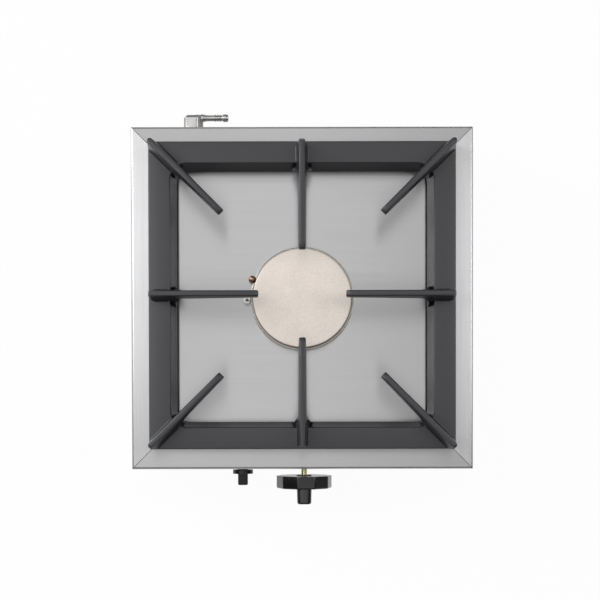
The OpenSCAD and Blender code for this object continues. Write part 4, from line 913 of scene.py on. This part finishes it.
class BURNER_OT_stage(bpy.types.Operator):
    """Lay the floor, set the lamps and aim the camera as the photograph was taken"""
    bl_idname = "burner.stage"
    bl_label = "Stage"

    def execute(self, context):
        scene = context.scene
        self.lay_floor()
        self.set_world(scene)
        for name, place, width, depth, power in LAMPS:
            lamp = bpy.data.lights.new(name, "AREA")
            lamp.shape = "RECTANGLE"
            lamp.size = width
            lamp.size_y = depth
            lamp.energy = power
            holder = bpy.data.objects.new(name, lamp)
            holder.location = place
            towards = LAMP_AIM - Vector(place)
            holder.rotation_euler = towards.to_track_quat("-Z", "Y").to_euler()
            scene.collection.objects.link(holder)
        self.aim_camera(scene)
        scene.view_settings.view_transform = "Standard"
        return {"FINISHED"}

    def lay_floor(self):
        """Large pale floor that keeps the shadow and looks white to the camera."""
        mesh = bpy.data.meshes.new("studio_floor")
        # A hair below the feet, so that their soles and the floor don't share a plane
        reach, low = 6.0, -0.0001
        corners = [(-reach, -reach, low), (reach, -reach, low), (reach, reach, low), (-reach, reach, low)]
        mesh.from_pydata(corners, [], [(0, 1, 2, 3)])
        paper = bpy.data.materials.new("Paper backdrop, white")
        paper.use_nodes = True
        tree = paper.node_tree
        tree.nodes.clear()
        # White paper: matt and even, and plain white where the camera sees it
        matt = add_node(tree, "ShaderNodeBsdfDiffuse", {"Color": opaque(linear("#f3f3f3"))})
        glow = add_node(tree, "ShaderNodeEmission",
                        {"Color": opaque(linear("#ffffff")), "Strength": 1.0})
        path = add_node(tree, "ShaderNodeLightPath")
        mirrored = add_node(tree, "ShaderNodeMath", operation="MAXIMUM", links=[
            (path.outputs["Is Glossy Ray"], 0), (path.outputs["Is Transmission Ray"], 1)])
        seen = add_node(tree, "ShaderNodeMath", operation="MAXIMUM", links=[
            (path.outputs["Is Camera Ray"], 0), (mirrored.outputs[0], 1)])
        share = add_node(tree, "ShaderNodeMath", {1: FLOOR_WHITE}, [(seen.outputs[0], 0)],
                         operation="MULTIPLY")
        mixed = add_node(tree, "ShaderNodeMixShader", links=[
            (share.outputs[0], 0), (matt.outputs[0], 1), (glow.outputs[0], 2)])
        add_node(tree, "ShaderNodeOutputMaterial", links=[(mixed.outputs[0], "Surface")])
        mesh.materials.append(paper)
        floor = bpy.data.objects.new("studio_floor", mesh)
        bpy.context.scene.collection.objects.link(floor)

    def set_world(self, scene):
        """Soft glow from the studio's ceiling and walls, and a pale horizon."""
        world = bpy.data.worlds.new("studio")
        world.use_nodes = True
        tree = world.node_tree
        tree.nodes.clear()
        direction = add_node(tree, "ShaderNodeTexCoord").outputs["Generated"]
        height = add_node(tree, "ShaderNodeSeparateXYZ", links=[(direction, "Vector")]).outputs["Z"]
        level = add_node(tree, "ShaderNodeMath", links=[(height, 0)], operation="ABSOLUTE").outputs[0]
        low = add_node(tree, "ShaderNodeMath", {0: 1.0}, [(level, 1)], operation="SUBTRACT").outputs[0]
        low = add_node(tree, "ShaderNodeMath", {1: HORIZON_POWER}, [(low, 0)], operation="POWER").outputs[0]
        total = add_node(tree, "ShaderNodeMath", {1: HORIZON_GLOW, 2: EVEN_GLOW}, [(low, 0)],
                         operation="MULTIPLY_ADD").outputs[0]
        for towards, narrowness, strength in GLOWS:
            near = add_node(tree, "ShaderNodeVectorMath", {1: Vector(towards).normalized()},
                            [(direction, 0)], operation="DOT_PRODUCT").outputs["Value"]
            near = add_node(tree, "ShaderNodeMath", {1: 0.0}, [(near, 0)], operation="MAXIMUM").outputs[0]
            near = add_node(tree, "ShaderNodeMath", {1: narrowness}, [(near, 0)],
                            operation="POWER").outputs[0]
            total = add_node(tree, "ShaderNodeMath", {1: strength}, [(near, 0), (total, 2)],
                             operation="MULTIPLY_ADD").outputs[0]
        sky = add_node(tree, "ShaderNodeBackground", {"Color": opaque(linear("#ffffff"))},
                       [(total, "Strength")])
        add_node(tree, "ShaderNodeOutputWorld", links=[(sky.outputs[0], "Surface")])
        scene.world = world

    def aim_camera(self, scene):
        """Camera above the burner, looking down with a slight tilt."""
        lens = bpy.data.cameras.new("photo_camera")
        # Fitted to the photograph, with the focal length and the shift in its pixels
        image_px, focal_px, shift_px = 600, 1097.1, (-0.5, 130.0)
        # From the middle of the casing at table height, in millimetres; the turn in radians
        place_mm, turn = (-2.3, -134.7, 1414.4), (-0.0152, 0, -0.0020)
        lens.sensor_width = 36.0
        lens.lens = focal_px / image_px * lens.sensor_width
        lens.shift_x = shift_px[0] / image_px
        lens.shift_y = shift_px[1] / image_px
        lens.clip_start = 0.02
        lens.clip_end = 50
        camera = bpy.data.objects.new("photo_camera", lens)
        case_middle_y = (CASE_LOW.y + CASE_HIGH.y) / 2
        camera.location = (place_mm[0] * MM, case_middle_y + place_mm[1] * MM, place_mm[2] * MM)
        camera.rotation_euler = Euler(turn)
        scene.collection.objects.link(camera)
        scene.camera = camera


class BURNER_PT_panel(bpy.types.Panel):
    """Lists the burner's pieces"""
    bl_idname = "BURNER_PT_panel"
    bl_label = "Gas burner"
    bl_space_type = "VIEW_3D"
    bl_region_type = "UI"
    bl_category = "Burner"

    def draw(self, context):
        layout = self.layout
        for group in (context.scene.burner_sizes, context.scene.burner_colours):
            column = layout.column()
            for key in group.bl_rna.properties.keys():
                if key not in ("rna_type", "name"):
                    column.prop(group, key)
        for operator in PIECES:
            layout.operator(operator.bl_idname)


PIECES = (BURNER_OT_casing, BURNER_OT_pan_support, BURNER_OT_burner, BURNER_OT_gas_line, BURNER_OT_knob,
          BURNER_OT_igniter, BURNER_OT_stage)
CLASSES = (BurnerSizes, BurnerColours, BURNER_PT_panel) + PIECES


def register():
    for cls in CLASSES:
        bpy.utils.register_class(cls)
    bpy.types.Scene.burner_sizes = bpy.props.PointerProperty(type=BurnerSizes)
    bpy.types.Scene.burner_colours = bpy.props.PointerProperty(type=BurnerColours)


def unregister():
    del bpy.types.Scene.burner_colours
    del bpy.types.Scene.burner_sizes
    for cls in reversed(CLASSES):
        bpy.utils.unregister_class(cls)


def main():
    register()
    for operator in PIECES:
        group, action = operator.bl_idname.split(".")
        getattr(getattr(bpy.ops, group), action)()


if __name__ == "__main__":
    main()
